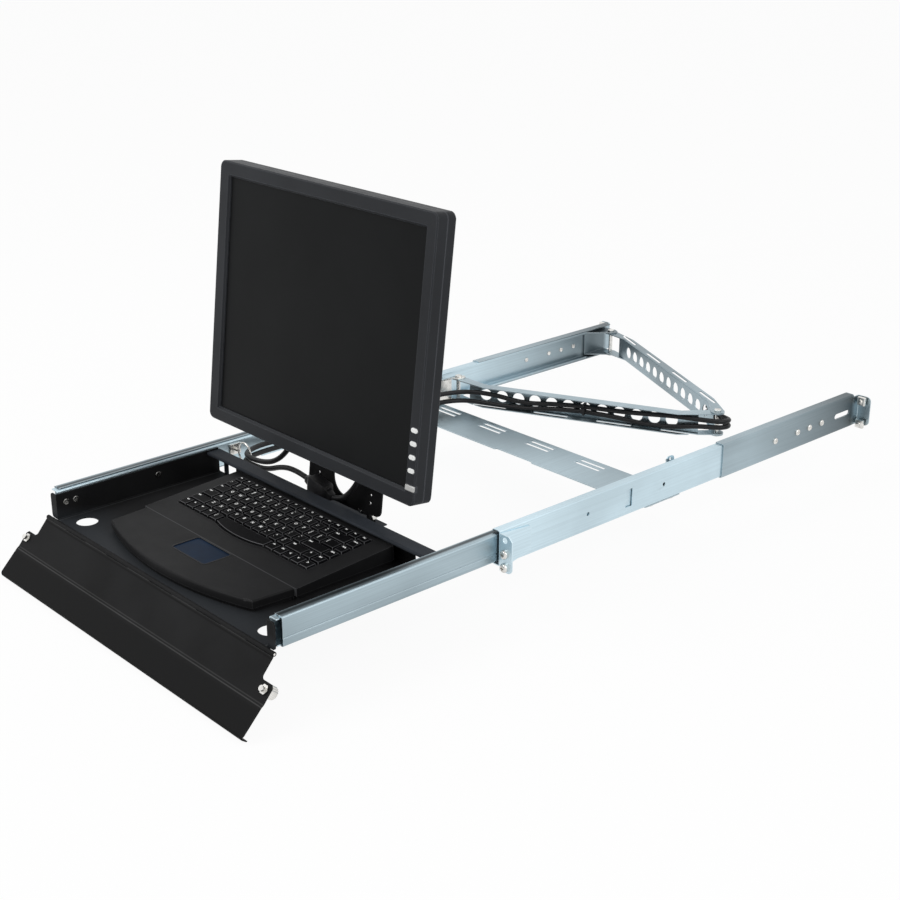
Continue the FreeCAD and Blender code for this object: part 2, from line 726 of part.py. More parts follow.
def rear_bar():
    """Bar across the back of the tray; its folded middle carries the monitor's hinge."""
    half = TRAY_HALF - TRAY_SHEET
    strip = [(BAR_FRONT, BAR_TOP - BAR_LIP), (BAR_FRONT, BAR_TOP), (BAR_REAR, BAR_TOP)]
    strip = prism(folded(strip[::-1], BAR_SHEET, RAIL_BEND), in_yz(-half), ALONG_X * 2 * half)
    base = HINGE_BASE_Z
    seat = [
        (HINGE_BASE_REAR, base - BAR_SHEET),
        (BAR_REAR - BAR_SHEET, base - BAR_SHEET),
        (BAR_REAR - BAR_SHEET, BAR_TOP - BAR_SHEET),
    ]
    fold = prism(folded(seat[::-1], BAR_SHEET, RAIL_BEND), in_yz(-BAR_WEB_HALF), ALONG_X * 2 * BAR_WEB_HALF)
    wide = []
    for side in SIDES.values():
        edges = sorted((side * HINGE_BASE_HALF, side * (BAR_WEB_HALF + 1)))
        wide.append(box(edges[0], edges[1], BAR_REAR, HINGE_BASE_REAR + 1, base - BAR_SHEET - 1, base + 1))
    legs = []
    for side in SIDES.values():
        leg = box(BAR_LEG_X, BAR_LEG_X + BAR_LEG_WIDTH, TRAY_REAR, BAR_REAR,
                  FLOOR_TOP - TRAY_SHEET, BAR_TOP - 1)
        legs.append(on_side(leg, side))
    return fused([strip, fold.cut(Part.makeCompound(wide))] + legs)


def leaned(shape):
    """A monitor piece, drawn upright with its face on Y = 0, leaned back and put in its place."""
    moved = shape.copy()
    moved.rotate(V(0, 0, 0), ALONG_X, -LEAN)
    moved.translate(V(0, FACE_Y, FACE_Z))
    return moved


def tilt_axis():
    """Point on the monitor's hinge axis, at X = 0."""
    lean = math.radians(LEAN)
    rise = TILT_AXIS_U * math.cos(lean) - TILT_AXIS_DEPTH * math.sin(lean)
    back = TILT_AXIS_U * math.sin(lean) + TILT_AXIS_DEPTH * math.cos(lean)
    return V(0, FACE_Y + back, FACE_Z + rise)


def hinge_lugs():
    """The two lugs on the rear bar that hold the monitor's hinge pins."""
    axis = tilt_axis()
    solids = []
    for side in SIDES.values():
        inner = TILT_EAR_X - SLIDE_GAP - LUG_WIDTH
        start = V(inner, axis.y, axis.z)
        barrel = rod(LUG_R, start, start + ALONG_X * LUG_WIDTH)
        post = box(inner, inner + LUG_WIDTH, axis.y - LUG_R, axis.y + LUG_R, HINGE_BASE_Z, axis.z)
        bore = rod(TILT_PIN_R + RUNNING_FIT, start - ALONG_X, start + ALONG_X * (LUG_WIDTH + 1))
        solids.append(on_side(fused([barrel, post]).cut(bore), side))
    return Part.makeCompound(solids)


def keyboard_outline(inset):
    """Plan of the keyboard with its bowed palm rest, as a face at Z = 0."""
    right = [
        V(KEYBOARD_HALF - inset, KEYBOARD_REAR - inset, 0),
        V(KEYBOARD_HALF - inset, PALM_STEP_Y + inset, 0),
        V(PALM_STEP_HALF - inset, PALM_STEP_Y + inset, 0),
        V(PALM_CORNER_HALF - inset, PALM_CORNER_Y + inset, 0),
    ]
    left = [V(-p.x, p.y, 0) for p in reversed(right)]
    edges = [Part.LineSegment(a, b).toShape() for a, b in zip(right, right[1:])]
    edges.append(Part.Arc(right[-1], V(0, PALM_FRONT_Y + inset, 0), left[0]).toShape())
    edges += [Part.LineSegment(a, b).toShape() for a, b in zip(left, left[1:])]
    edges.append(Part.LineSegment(left[-1], right[0]).toShape())
    return Part.Face(Part.Wire(edges))


def sloped(shape):
    """A keyboard piece, drawn flat from the palm step at the palm's height, tipped to the keys' slope."""
    moved = shape.copy()
    moved.rotate(V(0, 0, 0), ALONG_X, KEY_SLOPE)
    moved.translate(V(0, PALM_STEP_Y, PALM_TOP))
    return moved


def key_places(index, widths):
    """Left edge, width, front edge and depth of each key of a row, drawn flat."""
    front = KEY_FIELD_FRONT + index * KEY_ROW_PITCH
    last = len(KEY_ROWS) - 1
    depth = FUNCTION_ROW_DEPTH if index == last else KEY_ROW_PITCH - KEY_GAP
    units = 0
    for width in widths:
        if width is None:
            units += SPACE_BAR_UNITS
            continue
        yield KEY_FIELD_LEFT + units * KEY_UNIT, width * KEY_UNIT - KEY_GAP, front, depth
        units += width


def space_bar_place():
    """Left edge, width, front edge and depth of the space bar, drawn flat."""
    left = KEY_FIELD_LEFT + SPACE_BAR_START * KEY_UNIT
    return left, SPACE_BAR_UNITS * KEY_UNIT - KEY_GAP, KEY_FIELD_FRONT, KEY_ROW_PITCH - KEY_GAP


def bowed_wire(inset, z):
    """Outline of the space bar with its bowed front edge, drawn flat."""
    left, width, front, depth = space_bar_place()
    low = left + inset
    high = left + width - inset
    back = front + depth - inset
    edges = [
        Part.Arc(V(low, front + inset, z), V((low + high) / 2, front + inset - SPACE_BAR_BOW, z),
                 V(high, front + inset, z)).toShape(),
        Part.LineSegment(V(high, front + inset, z), V(high, back, z)).toShape(),
        Part.LineSegment(V(high, back, z), V(low, back, z)).toShape(),
        Part.LineSegment(V(low, back, z), V(low, front + inset, z)).toShape(),
    ]
    return Part.Wire(edges)


def key_stem(left, width, front, depth):
    """Square stem under the middle of a key, drawn flat."""
    half = KEY_STEM / 2
    x = left + width / 2
    y = front + depth / 2
    return box(x - half, x + half, y - half, y + half, KEY_BASE - KEY_STEM_LENGTH, KEY_BASE + KEY_RISE / 4)


def stem_slot(places):
    """Slot in the deck under one row of keys, with room for the stems at full travel, drawn flat."""
    left, width, front, depth = places[0]
    last_left, last_width, _, _ = places[-1]
    half = KEY_STEM / 2 + FLANGE_GAP
    middle = front + depth / 2
    low = KEY_BASE - KEY_STEM_LENGTH - KEY_TRAVEL - SLIDE_GAP
    return box(left + width / 2 - half, last_left + last_width / 2 + half,
               middle - half, middle + half, low, 0)


def key_cap(left, width, front, depth):
    """One tapered key cap on its stem, drawn flat."""
    base = KEY_BASE
    taper = KEY_TAPER
    lower = Part.makePolygon([V(left, front, base), V(left + width, front, base),
                              V(left + width, front + depth, base), V(left, front + depth, base),
                              V(left, front, base)])
    upper = Part.makePolygon([V(left + taper, front + taper, KEY_RISE),
                              V(left + width - taper, front + taper, KEY_RISE),
                              V(left + width - taper, front + depth - taper, KEY_RISE),
                              V(left + taper, front + depth - taper, KEY_RISE),
                              V(left + taper, front + taper, KEY_RISE)])
    cap = Part.makeLoft([lower, upper], True, True)
    return fused([cap, key_stem(left, width, front, depth)])


def space_bar():
    """Space bar with a bowed front edge, on its stem."""
    cap = Part.makeLoft([bowed_wire(0, KEY_BASE), bowed_wire(KEY_TAPER, KEY_RISE)], True, True)
    return sloped(fused([cap, key_stem(*space_bar_place())]))


def key_row(index, widths):
    """All the caps of one row, as separate solids."""
    return sloped(Part.makeCompound([key_cap(*place) for place in key_places(index, widths)]))


def rows_of_places():
    """Places of the keys, row by row."""
    return [list(key_places(index, widths)) for index, widths in KEY_ROWS.values()]


def keyboard_base():
    """Lower shell of the keyboard, on the tray floor."""
    face = keyboard_outline(KEYBOARD_BASE_INSET)
    face.translate(V(0, 0, FLOOR_TOP))
    return face.extrude(ALONG_Z * (KEYBOARD_SPLIT - FLOOR_TOP))


def keyboard_deck():
    """Upper shell: palm rest with its rounded front edge, key well, stem slots and touchpad seat."""
    plan = keyboard_outline(0)
    plan.translate(V(0, 0, KEYBOARD_SPLIT))
    rise = (KEYBOARD_REAR - PALM_STEP_Y) * math.tan(math.radians(KEY_SLOPE))
    deck = plan.extrude(ALONG_Z * (PALM_TOP + rise + 1 - KEYBOARD_SPLIT))
    above = [
        (PALM_FRONT_Y - 5, PALM_TOP, 0),
        (PALM_STEP_Y, PALM_TOP, 0),
        (KEYBOARD_REAR + 1,
         PALM_TOP + rise * (KEYBOARD_REAR + 1 - PALM_STEP_Y) / (KEYBOARD_REAR - PALM_STEP_Y), 0),
        (KEYBOARD_REAR + 1, PALM_TOP + rise + 9, 0),
        (PALM_FRONT_Y - 5, PALM_TOP + rise + 9, 0),
    ]
    wide = KEYBOARD_HALF + 5
    deck = deck.cut(prism(above, in_yz(-wide), ALONG_X * 2 * wide))
    rounded = [edge for edge in deck.Edges
               if abs(edge.CenterOfMass.z - PALM_TOP) < 0.01 and edge.CenterOfMass.y < PALM_STEP_Y - 1]
    deck = deck.makeFillet(PALM_ROUND, rounded)
    rows = rows_of_places()
    places = [place for row in rows for place in row]
    margin = KEY_WELL_MARGIN
    well = box(min(p[0] for p in places) - margin, max(p[0] + p[1] for p in places) + margin,
               min(p[2] for p in places) - margin, max(p[2] + p[3] for p in places) + margin,
               -KEY_WELL, KEY_RISE + 5)
    bow = Part.Face(bowed_wire(-margin, -KEY_WELL)).extrude(ALONG_Z * 2 * KEY_WELL)
    for cutter in [well, bow] + [stem_slot(row) for row in rows]:
        deck = deck.cut(sloped(cutter))
    half_x = TOUCHPAD_WIDTH / 2 + FLANGE_GAP
    half_y = TOUCHPAD_DEPTH / 2 + FLANGE_GAP
    rim = rectangle(TOUCHPAD_X - half_x, TOUCHPAD_X + half_x, TOUCHPAD_Y - half_y, TOUCHPAD_Y + half_y,
                    TOUCHPAD_CORNER + FLANGE_GAP)
    seat = prism(rim, in_xy(PALM_TOP - TOUCHPAD_SINK - TOUCHPAD_SHEET),
                 ALONG_Z * (TOUCHPAD_SINK + TOUCHPAD_SHEET + 1))
    return deck.cut(seat)


def touchpad():
    """Touchpad, a little below the palm rest's surface."""
    low = PALM_TOP - TOUCHPAD_SINK - TOUCHPAD_SHEET
    half_x = TOUCHPAD_WIDTH / 2
    half_y = TOUCHPAD_DEPTH / 2
    pad = rectangle(TOUCHPAD_X - half_x, TOUCHPAD_X + half_x, TOUCHPAD_Y - half_y, TOUCHPAD_Y + half_y,
                    TOUCHPAD_CORNER)
    return prism(pad, in_xy(low), ALONG_Z * TOUCHPAD_SHEET)


def knuckle_span(index):
    """Start and end, along X, of one knuckle of the piano hinge."""
    pitch = 2 * PANEL_NECK_HALF / KNUCKLES
    start = -PANEL_NECK_HALF + index * pitch
    return start + SLIDE_GAP / 2, start + pitch - SLIDE_GAP / 2


def barrel(index):
    """One knuckle's barrel, without its bore, on an axis through the origin."""
    start, end = knuckle_span(index)
    return rod(BARREL_R, V(start, 0, 0), V(end, 0, 0))


def hinge_bore():
    """Bore of the piano hinge, on an axis through the origin."""
    reach = PANEL_NECK_HALF + 1
    return rod(BARREL_PIN_R + RUNNING_FIT, V(-reach, 0, 0), V(reach, 0, 0))


def hinge_leaf():
    """The hinge leaf under the tray floor, with every second knuckle."""
    axis = V(0, HINGE_Y, HINGE_Z)
    top = FLOOR_TOP - TRAY_SHEET - HINGE_Z
    back = HINGE_Y + LEAF_DEPTH
    edge = PANEL_NECK_HALF - LEAF_INSET
    pieces = [box(-edge, edge, TRAY_FRONT - HINGE_Y, back - HINGE_Y,
                  top - LEAF_SHEET, top)]
    for index in range(1, KNUCKLES, 2):
        start, end = knuckle_span(index)
        pieces.append(barrel(index))
        if end < PANEL_NECK_HALF - LEAF_INSET:
            pieces.append(box(start, end, 0, TRAY_FRONT - HINGE_Y, top - LEAF_SHEET, top))
        else:
            pieces.append(box(start, edge, 0, TRAY_FRONT - HINGE_Y, top - LEAF_SHEET, top))
    leaf = fused(pieces).cut(hinge_bore())
    leaf.translate(axis)
    return leaf


def hinge_pin():
    """Pin through all the knuckles."""
    reach = PANEL_NECK_HALF
    return rod(BARREL_PIN_R, V(-reach, HINGE_Y, HINGE_Z), V(reach, HINGE_Y, HINGE_Z))


def hung(shape):
    """A panel piece, drawn hanging straight down from the origin, swung out to its stop."""
    moved = shape.copy()
    moved.rotate(V(0, 0, 0), ALONG_X, PANEL_SLOPE - 90)
    moved.translate(V(0, HINGE_Y, HINGE_Z))
    return moved


def front_panel():
    """Creased drop-down panel with two ears, a pull along its edge and its hinge knuckles."""
    crease = math.radians(PANEL_CREASE)
    lower = PANEL_LOWER - PANEL_STEP_RUN
    step_end = -PANEL_UPPER - PANEL_STEP_RUN
    end = V(0, -PANEL_STEP - lower * math.sin(crease), step_end - lower * math.cos(crease))
    half = PANEL_SHEET / 2
    path = [
        (end.y + PANEL_PULL, end.z + PANEL_PULL * math.sin(crease)),
        (end.y + half, end.z),
        (half - PANEL_STEP, step_end),
        (half, -PANEL_UPPER),
        (half, -BARREL_R),
    ]
    sheet = prism(folded(path, PANEL_SHEET, PANEL_BEND), in_yz(-PANEL_HALF), ALONG_X * 2 * PANEL_HALF)
    cuts = []
    for side in SIDES.values():
        beyond = PANEL_HALF + 1
        neck = [
            (PANEL_NECK_HALF, 1, 0),
            (PANEL_NECK_HALF, -PANEL_NECK, PANEL_CORNER),
            (beyond - PANEL_CORNER, -PANEL_NECK, 0),
            (beyond, -PANEL_NECK - PANEL_CORNER, 0),
            (beyond, 1, 0),
        ]
        cuts.append(on_side(prism(neck, in_xz(-5), ALONG_Y * 10), side))
        screw = V(side * HOLE_COLUMN, -5, -EAR_SCREW)
        cuts.append(rod(THUMB_R + RUNNING_FIT, screw, screw + ALONG_Y * 10))
        low = end.z + PANEL_CORNER
        tip = [
            (PANEL_HALF - PANEL_CORNER, end.z - 5, 0),
            (PANEL_HALF + 1, end.z - 5, 0),
            (PANEL_HALF + 1, low + 1, 0),
        ]
        cuts.append(on_side(prism(tip, in_xz(end.y - 20), ALONG_Y * 40), side))
    sheet = sheet.cut(Part.makeCompound(cuts))
    pieces = [sheet]
    gaps = []
    for index in range(KNUCKLES):
        start, stop = knuckle_span(index)
        if index % 2 == 0:
            pieces.append(barrel(index))
            pieces.append(box(start, stop, -half, half, -BARREL_R - 0.5, -BARREL_R / 2))
        else:
            gaps.append(box(start - SLIDE_GAP, stop + SLIDE_GAP, -HINGE_SWEEP, HINGE_SWEEP,
                            -BARREL_R - SLIDE_GAP, HINGE_SWEEP))
    panel = fused(pieces).cut(Part.makeCompound(gaps)).cut(hinge_bore())
    return hung(panel)


def thumbscrew(side):
    """Captive thumbscrew in one ear: ribbed knob outside, retaining nut and tip towards the rack."""
    half = PANEL_SHEET / 2
    centre = V(side * HOLE_COLUMN, 0, -EAR_SCREW)
    face = centre + ALONG_Y * (half + SLIDE_GAP)
    back = centre - ALONG_Y * (half + SLIDE_GAP)
    tip = centre - ALONG_Y * (half + THUMB_REACH)
    rim = []
    for step in range(2 * THUMB_FLATS + 1):
        reach = THUMB_KNOB_R - (step % 2) * THUMB_KNOB_R / 12
        angle = math.pi * step / THUMB_FLATS
        rim.append(face + V(reach * math.cos(angle), 0, reach * math.sin(angle)))
    knob = Part.Face(Part.makePolygon(rim)).extrude(ALONG_Y * THUMB_KNOB)
    nut = hexagon(THUMB_NUT_R, back - ALONG_Y * THUMB_NUT, back)
    return hung(fused([knob, rod(THUMB_R, tip, face), nut]))


def monitor_plan(inset, radius):
    """Corners of the monitor's outline, seen from the front."""
    half = MONITOR_WIDTH / 2 - inset
    return rectangle(-half, half, inset, MONITOR_HEIGHT - inset, radius)


def button_outline(x, u, length, width, room, radius):
    """Corners of a button's outline on the monitor's face, with room all round."""
    half_l = length / 2 + room
    half_w = width / 2 + room
    return rectangle(x - half_l, x + half_l, u - half_w, u + half_w, radius)


def menu_outline(u, room):
    """Corners of one menu button, or of its opening."""
    radius = (MENU_BUTTON_WIDTH / 2 + room) * 0.98
    return button_outline(MENU_BUTTON_X, u, MENU_BUTTON_LENGTH, MENU_BUTTON_WIDTH, room, radius)


def power_outline(room):
    """Corners of the power button, or of its opening."""
    return button_outline(POWER_BUTTON_X, POWER_BUTTON_U, POWER_BUTTON_LENGTH, POWER_BUTTON_WIDTH, room, 0)


def screen_rectangle(margin, radius):
    """Corners of the screen opening, or of the panel behind it."""
    half = SCREEN_WIDTH / 2 + margin
    low = SCREEN_BOTTOM - margin
    high = SCREEN_BOTTOM + SCREEN_HEIGHT + margin
    return rectangle(SCREEN_X - half, SCREEN_X + half, low, high, radius)


def monitor_bezel():
    """Front frame of the monitor: bevelled screen opening, seat for the panel, button openings."""
    frame = prism(monitor_plan(0, MONITOR_CORNER), in_xz(0), ALONG_Y * BEZEL_DEPTH)
    front = [edge for edge in frame.Edges if edge.BoundBox.YMax < 0.01]
    frame = frame.makeChamfer(BEZEL_EDGE, front)
    opening = prism(screen_rectangle(0, 0), in_xz(-1), ALONG_Y * (BEZEL_DEPTH + 2))
    bevel = Part.makeLoft([outline(screen_rectangle(BEZEL_BEVEL, 0), in_xz(-0.01)),
                           outline(screen_rectangle(0, 0), in_xz(BEZEL_BEVEL))], True, True)
    seat = prism(screen_rectangle(LCD_MARGIN, 0), in_xz(BEZEL_LIP), ALONG_Y * BEZEL_DEPTH)
    cuts = [opening, bevel, seat]
    well = BUTTON_SINK + BUTTON_TRAVEL + SLIDE_GAP
    for corners in [menu_outline(u, BUTTON_GAP) for u in MENU_BUTTON_U] + [power_outline(BUTTON_GAP)]:
        cuts.append(prism(corners, in_xz(-1), ALONG_Y * (well + 1)))
    for cutter in cuts:
        frame = frame.cut(cutter)
    return leaned(frame)


def lcd_panel():
    """Flat display panel in its seat behind the bezel."""
    plate = prism(screen_rectangle(LCD_MARGIN - SLIDE_GAP, 0), in_xz(BEZEL_LIP), ALONG_Y * LCD_THICKNESS)
    return leaned(plate)


def menu_button(u):
    """One oval menu button, proud of the bezel by its travel and a little more."""
    shape = prism(menu_outline(u, 0), in_xz(-BUTTON_PROUD), ALONG_Y * (BUTTON_PROUD + BUTTON_SINK))
    rim = [edge for edge in shape.Edges if edge.BoundBox.YMax < -BUTTON_PROUD + 0.01]
    return leaned(shape.makeChamfer(BUTTON_EDGE, rim))


def power_button():
    """Rectangular power button at the bezel's corner."""
    shape = prism(power_outline(0), in_xz(-BUTTON_PROUD), ALONG_Y * (BUTTON_PROUD + BUTTON_SINK))
    rim = [edge for edge in shape.Edges if edge.BoundBox.YMax < -BUTTON_PROUD + 0.01]
    return leaned(shape.makeChamfer(BUTTON_EDGE, rim))


def plug_box(x, room):
    """Body of a lead's plug under the bulge, or its socket with room round the sides."""
    half_x = MONITOR_PLUG_WIDTH / 2 + room
    half_y = MONITOR_PLUG_THICKNESS / 2 + room
    return box(x - half_x, x + half_x, SOCKET_DEPTH - half_y, SOCKET_DEPTH + half_y,
               MONITOR_PLUG_U, MONITOR_PLUG_U + MONITOR_PLUG_LENGTH)


def cut_rectangle(half, low, high):
    """Corners of a rectangle about X = 0 with its four corners cut off."""
    cut = BACK_CORNER
    return [
        (-half + cut, low, 0), (half - cut, low, 0), (half, low + cut, 0), (half, high - cut, 0),
        (half - cut, high, 0), (-half + cut, high, 0), (-half, high - cut, 0), (-half, low + cut, 0),
    ]


def monitor_back():
    """Rear shell: the rim behind the bezel and the tapered bulge with its vents."""
    rim = prism(monitor_plan(0, MONITOR_CORNER), in_xz(BEZEL_DEPTH), ALONG_Y * (MONITOR_EDGE - BEZEL_DEPTH))
    rear = [edge for edge in rim.Edges if edge.BoundBox.YMin > MONITOR_EDGE - 0.01]
    rim = rim.makeChamfer(BACK_EDGE, rear)
    wide = cut_rectangle(BACK_HALF, BACK_BOTTOM, BACK_TOP)
    slim = cut_rectangle(BACK_HALF - BACK_DRAFT, BACK_BOTTOM + BACK_DRAFT / 2, BACK_TOP - BACK_DRAFT)
    ends = [outline(wide, in_xz(MONITOR_EDGE - 1)), outline(slim, in_xz(BACK_DEPTH))]
    bulge = Part.makeLoft(ends, True, True)
    shell = fused([rim, bulge])
    vents = []
    for row in (-1, 1):
        for step in range(VENT_COUNT):
            x = (step - (VENT_COUNT - 1) / 2) * VENT_PITCH
            if abs(x) > BRACKET_HALF:
                middle = VESA_U + row * VENT_LENGTH * 0.8
                vents.append(box(x - VENT_WIDTH / 2, x + VENT_WIDTH / 2,
                                 BACK_DEPTH - VENT_DEPTH, BACK_DEPTH + 1,
                                 middle - VENT_LENGTH / 2, middle + VENT_LENGTH / 2))
    for x in SOCKET_X:
        vents.append(plug_box(x, SLIDE_GAP))
    return leaned(shell.cut(Part.makeCompound(vents)))


def monitor_bracket():
    """Steel plate on the monitor's back: cable hole, stiffening flanges and the hinge ears."""
    front = BACK_DEPTH
    back = BACK_DEPTH + BRACKET_PLATE
    plan = rectangle(-BRACKET_HALF, BRACKET_HALF, BRACKET_BOTTOM, BRACKET_TOP, BRACKET_ROUND)
    plate = prism(plan, in_xz(front), ALONG_Y * BRACKET_PLATE)
    pieces = [plate]
    for side in SIDES.values():
        wall = [
            (back - 0.5, BRACKET_FLANGE_FROM, 0),
            (back + BRACKET_FLANGE, BRACKET_FLANGE_FROM + BRACKET_FLANGE, 2),
            (back + BRACKET_FLANGE, BRACKET_TOP - 2 * BRACKET_FLANGE, 2),
            (back - 0.5, BRACKET_TOP - BRACKET_FLANGE, 0),
        ]
        flange = prism(wall, in_yz(BRACKET_HALF - BRACKET_PLATE), ALONG_X * BRACKET_PLATE)
        pieces.append(on_side(flange, side))
        axis = V(TILT_EAR_X, TILT_AXIS_DEPTH, TILT_AXIS_U)
        disc = rod(TILT_EAR_R, axis, axis + ALONG_X * BRACKET_PLATE)
        web = box(TILT_EAR_X, TILT_EAR_X + BRACKET_PLATE, front + 0.5, TILT_AXIS_DEPTH + TILT_EAR_R,
                  TILT_AXIS_U, BRACKET_BOTTOM + 8)
        pieces.append(on_side(fused([disc, web]), side))
    cuts = [rod(CABLE_HOLE_R, V(0, front - 1, CABLE_HOLE_U), V(0, back + 1, CABLE_HOLE_U))]
    for side in SIDES.values():
        bore = V(side * (TILT_EAR_X - 1), TILT_AXIS_DEPTH, TILT_AXIS_U)
        cuts.append(rod(TILT_PIN_R, bore, bore + ALONG_X * side * (BRACKET_PLATE + 2)))
        for u in SIDE_HOLES_U:
            x = side * SIDE_HOLES_X
            cuts.append(rod(SIDE_HOLE_R, V(x, front - 1, u), V(x, back + 1, u)))
    return leaned(fused(pieces).cut(Part.makeCompound(cuts)))


def bracket_screws():
    """Heads of the four screws that hold the bracket to the monitor."""
    solids = []
    back = BACK_DEPTH + BRACKET_PLATE
    for x in (-VESA_HALF, VESA_HALF):
        for u in (VESA_U - VESA_HALF, VESA_U + VESA_HALF):
            solids.append(leaned(hexagon(VESA_HEAD_R, V(x, back, u), V(x, back + VESA_HEAD, u))))
    return Part.makeCompound(solids)


def tilt_pins():
    """Headed hinge pins, fixed in the bracket's ears and turning in the lugs."""
    solids = []
    for side in SIDES.values():
        axis = V(TILT_EAR_X - SLIDE_GAP - LUG_WIDTH - 1, TILT_AXIS_DEPTH, TILT_AXIS_U)
        outer = V(TILT_EAR_X + BRACKET_PLATE, TILT_AXIS_DEPTH, TILT_AXIS_U)
        head = hexagon(TILT_PIN_HEAD_R, outer, outer + ALONG_X * TILT_PIN_HEAD)
        solids.append(leaned(on_side(fused([rod(TILT_PIN_R, axis, outer), head]), side)))
    return Part.makeCompound(solids)


def arm_frame(shape, pivot, angle):
    """An arm piece, drawn along X from its pivot, turned and put in its place."""
    moved = shape.copy()
    moved.rotate(V(0, 0, 0), ALONG_Z, angle)
    moved.translate(pivot)
    return moved


def arm_channel(top, bottom, web, edge, slots_on_top):
    """One channel arm drawn along X between its pivots: web and flanges on the right of the pivot line."""
    path = [(-edge, bottom), (-web, bottom), (-web, top), (-edge, top)]
    channel = prism(folded(path, ARM_SHEET, RAIL_BEND),
                    lambda p: V(ARM_WEB_END, p.x, p.y), ALONG_X * (ARM_LENGTH - 2 * ARM_WEB_END))
    plan = [
        (0, ARM_LUG_R, 0),
        (ARM_TAPER, -web, 0),
        (ARM_LENGTH - ARM_TAPER, -web, 0),
        (ARM_LENGTH, ARM_LUG_R, 0),
        (ARM_LENGTH, -ARM_LUG_R, 0),
        (ARM_LENGTH - ARM_TAPER, -edge, 0),
        (ARM_TAPER, -edge, 0),
        (0, -ARM_LUG_R, 0),
    ]
    pieces = [channel.common(prism(plan, in_xy(bottom), ALONG_Z * (top - bottom)))]
    for low in (bottom, top - ARM_SHEET):
        for x, direction in ((0, 1), (ARM_LENGTH, -1)):
            inner = x + direction * ARM_TAPER
            tongue = [
                (x, ARM_LUG_R, 0),
                (inner, -web - RAIL_BEND - ARM_SHEET, 0),
                (inner, -edge, 0),
                (x, -ARM_LUG_R, 0),
            ]
            pieces.append(prism(tongue, in_xy(low), ALONG_Z * ARM_SHEET))
            pieces.append(rod(ARM_LUG_R, V(x, 0, low), V(x, 0, low + ARM_SHEET)))
    arm = fused(pieces)
    cuts = []
    level = (top + bottom) / 2
    for step in range(ARM_HOLE_COUNT):
        x = ARM_HOLE_FIRST + step * ARM_HOLE_PITCH
        cuts.append(rod(ARM_HOLE_R, V(x, -web - ARM_SHEET - 1, level), V(x, -web + 1, level)))
    flange = top - ARM_SHEET - 1 if slots_on_top else bottom - 1
    for step in range(ARM_SLOT_COUNT):
        x = ARM_SLOT_FIRST + step * ARM_SLOT_PITCH
        middle = -(web + edge) / 2
        cuts.append(box(x, x + ARM_SLOT_LENGTH, middle - ARM_SLOT_WIDTH / 2, middle + ARM_SLOT_WIDTH / 2,
                        flange, flange + ARM_SHEET + 2))
    for x in (0, ARM_LENGTH):
        cuts.append(rod(ARM_PIN_R + RUNNING_FIT, V(x, 0, bottom - 1), V(x, 0, top + 1)))
    return arm.cut(Part.makeCompound(cuts))


def front_arm():
    """Front arm, between the flanges of the rear arm at the elbow."""
    inner = ARM_SHEET + FLANGE_GAP
    arm = arm_channel(ARM_TOP - inner, ARM_BOTTOM + inner, FRONT_ARM_WEB, FRONT_ARM_EDGE, False)
    return arm_frame(arm, V(PIVOT_X, PIVOT_FRONT_Y, 0), ARM_ANGLE)


def rear_arm():
    """Rear arm, from the elbow to the left extension."""
    arm = arm_channel(ARM_TOP, ARM_BOTTOM, REAR_ARM_WEB, REAR_ARM_EDGE, True)
    return arm_frame(arm, V(ELBOW_X, ELBOW_Y, 0), 180 - ARM_ANGLE)


def arm_pin(x, y, low, high):
    """Headed pivot pin of the cable arm, between two heights."""
    shank = rod(ARM_PIN_R, V(x, y, low), V(x, y, high))
    cap = hexagon(ARM_PIN_HEAD_R, V(x, y, high), V(x, y, high + ARM_PIN_HEAD))
    foot = hexagon(ARM_PIN_HEAD_R, V(x, y, low - ARM_PIN_HEAD), V(x, y, low))
    return fused([shank, cap, foot])


def elbow_pin():
    """Pin of the elbow, through both arms."""
    return arm_pin(ELBOW_X, ELBOW_Y, ARM_BOTTOM - FLANGE_GAP, ARM_TOP + FLANGE_GAP)


def front_arm_pin():
    """Pin of the front pivot, held by the front arm bracket."""
    return arm_pin(PIVOT_X, PIVOT_FRONT_Y, ARM_BOTTOM, ARM_TOP)


def rear_arm_pin():
    """Pin of the rear pivot, fixed in the rear arm and loose in the slots of its bracket."""
    gap = FLANGE_GAP + ARM_BRACKET_SHEET + FLANGE_GAP
    return arm_pin(PIVOT_X, PIVOT_REAR_Y, ARM_BOTTOM - gap, ARM_TOP + gap)


def arm_clevis(wall, pivot_y, start, length, low, high, sheet):
    """U-shaped bracket with its base on a wall at X and two lugs round a pivot."""
    base = box(wall, wall + sheet, start, start + length, low, high)
    pieces = [base]
    reach = ARM_LUG_R + 1
    for z in (low, high - sheet):
        lug = [
            (wall, start, 0),
            (wall, start + length, 0),
            (PIVOT_X, pivot_y + reach, 0),
            (PIVOT_X + reach * 0.7, pivot_y + reach * 0.7, 0),
            (PIVOT_X + reach, pivot_y, 0),
            (PIVOT_X + reach * 0.7, pivot_y - reach * 0.7, 0),
            (PIVOT_X, pivot_y - reach, 0),
        ]
        pieces.append(prism(lug, in_xy(z), ALONG_Z * sheet))
    return fused(pieces)


def front_arm_bracket():
    """Bright bracket at the back end of the left inner rail that holds the front pivot."""
    start = PIVOT_FRONT_Y - ARM_LUG_R - FRONT_BRACKET_LENGTH
    clevis = arm_clevis(-TRAY_HALF, PIVOT_FRONT_Y, start, FRONT_BRACKET_LENGTH,
                        ARM_BOTTOM, ARM_TOP, ARM_SHEET)
    low = V(PIVOT_X, PIVOT_FRONT_Y, ARM_BOTTOM - 1)
    high = V(PIVOT_X, PIVOT_FRONT_Y, ARM_TOP + 1)
    return clevis.cut(rod(ARM_PIN_R, low, high))


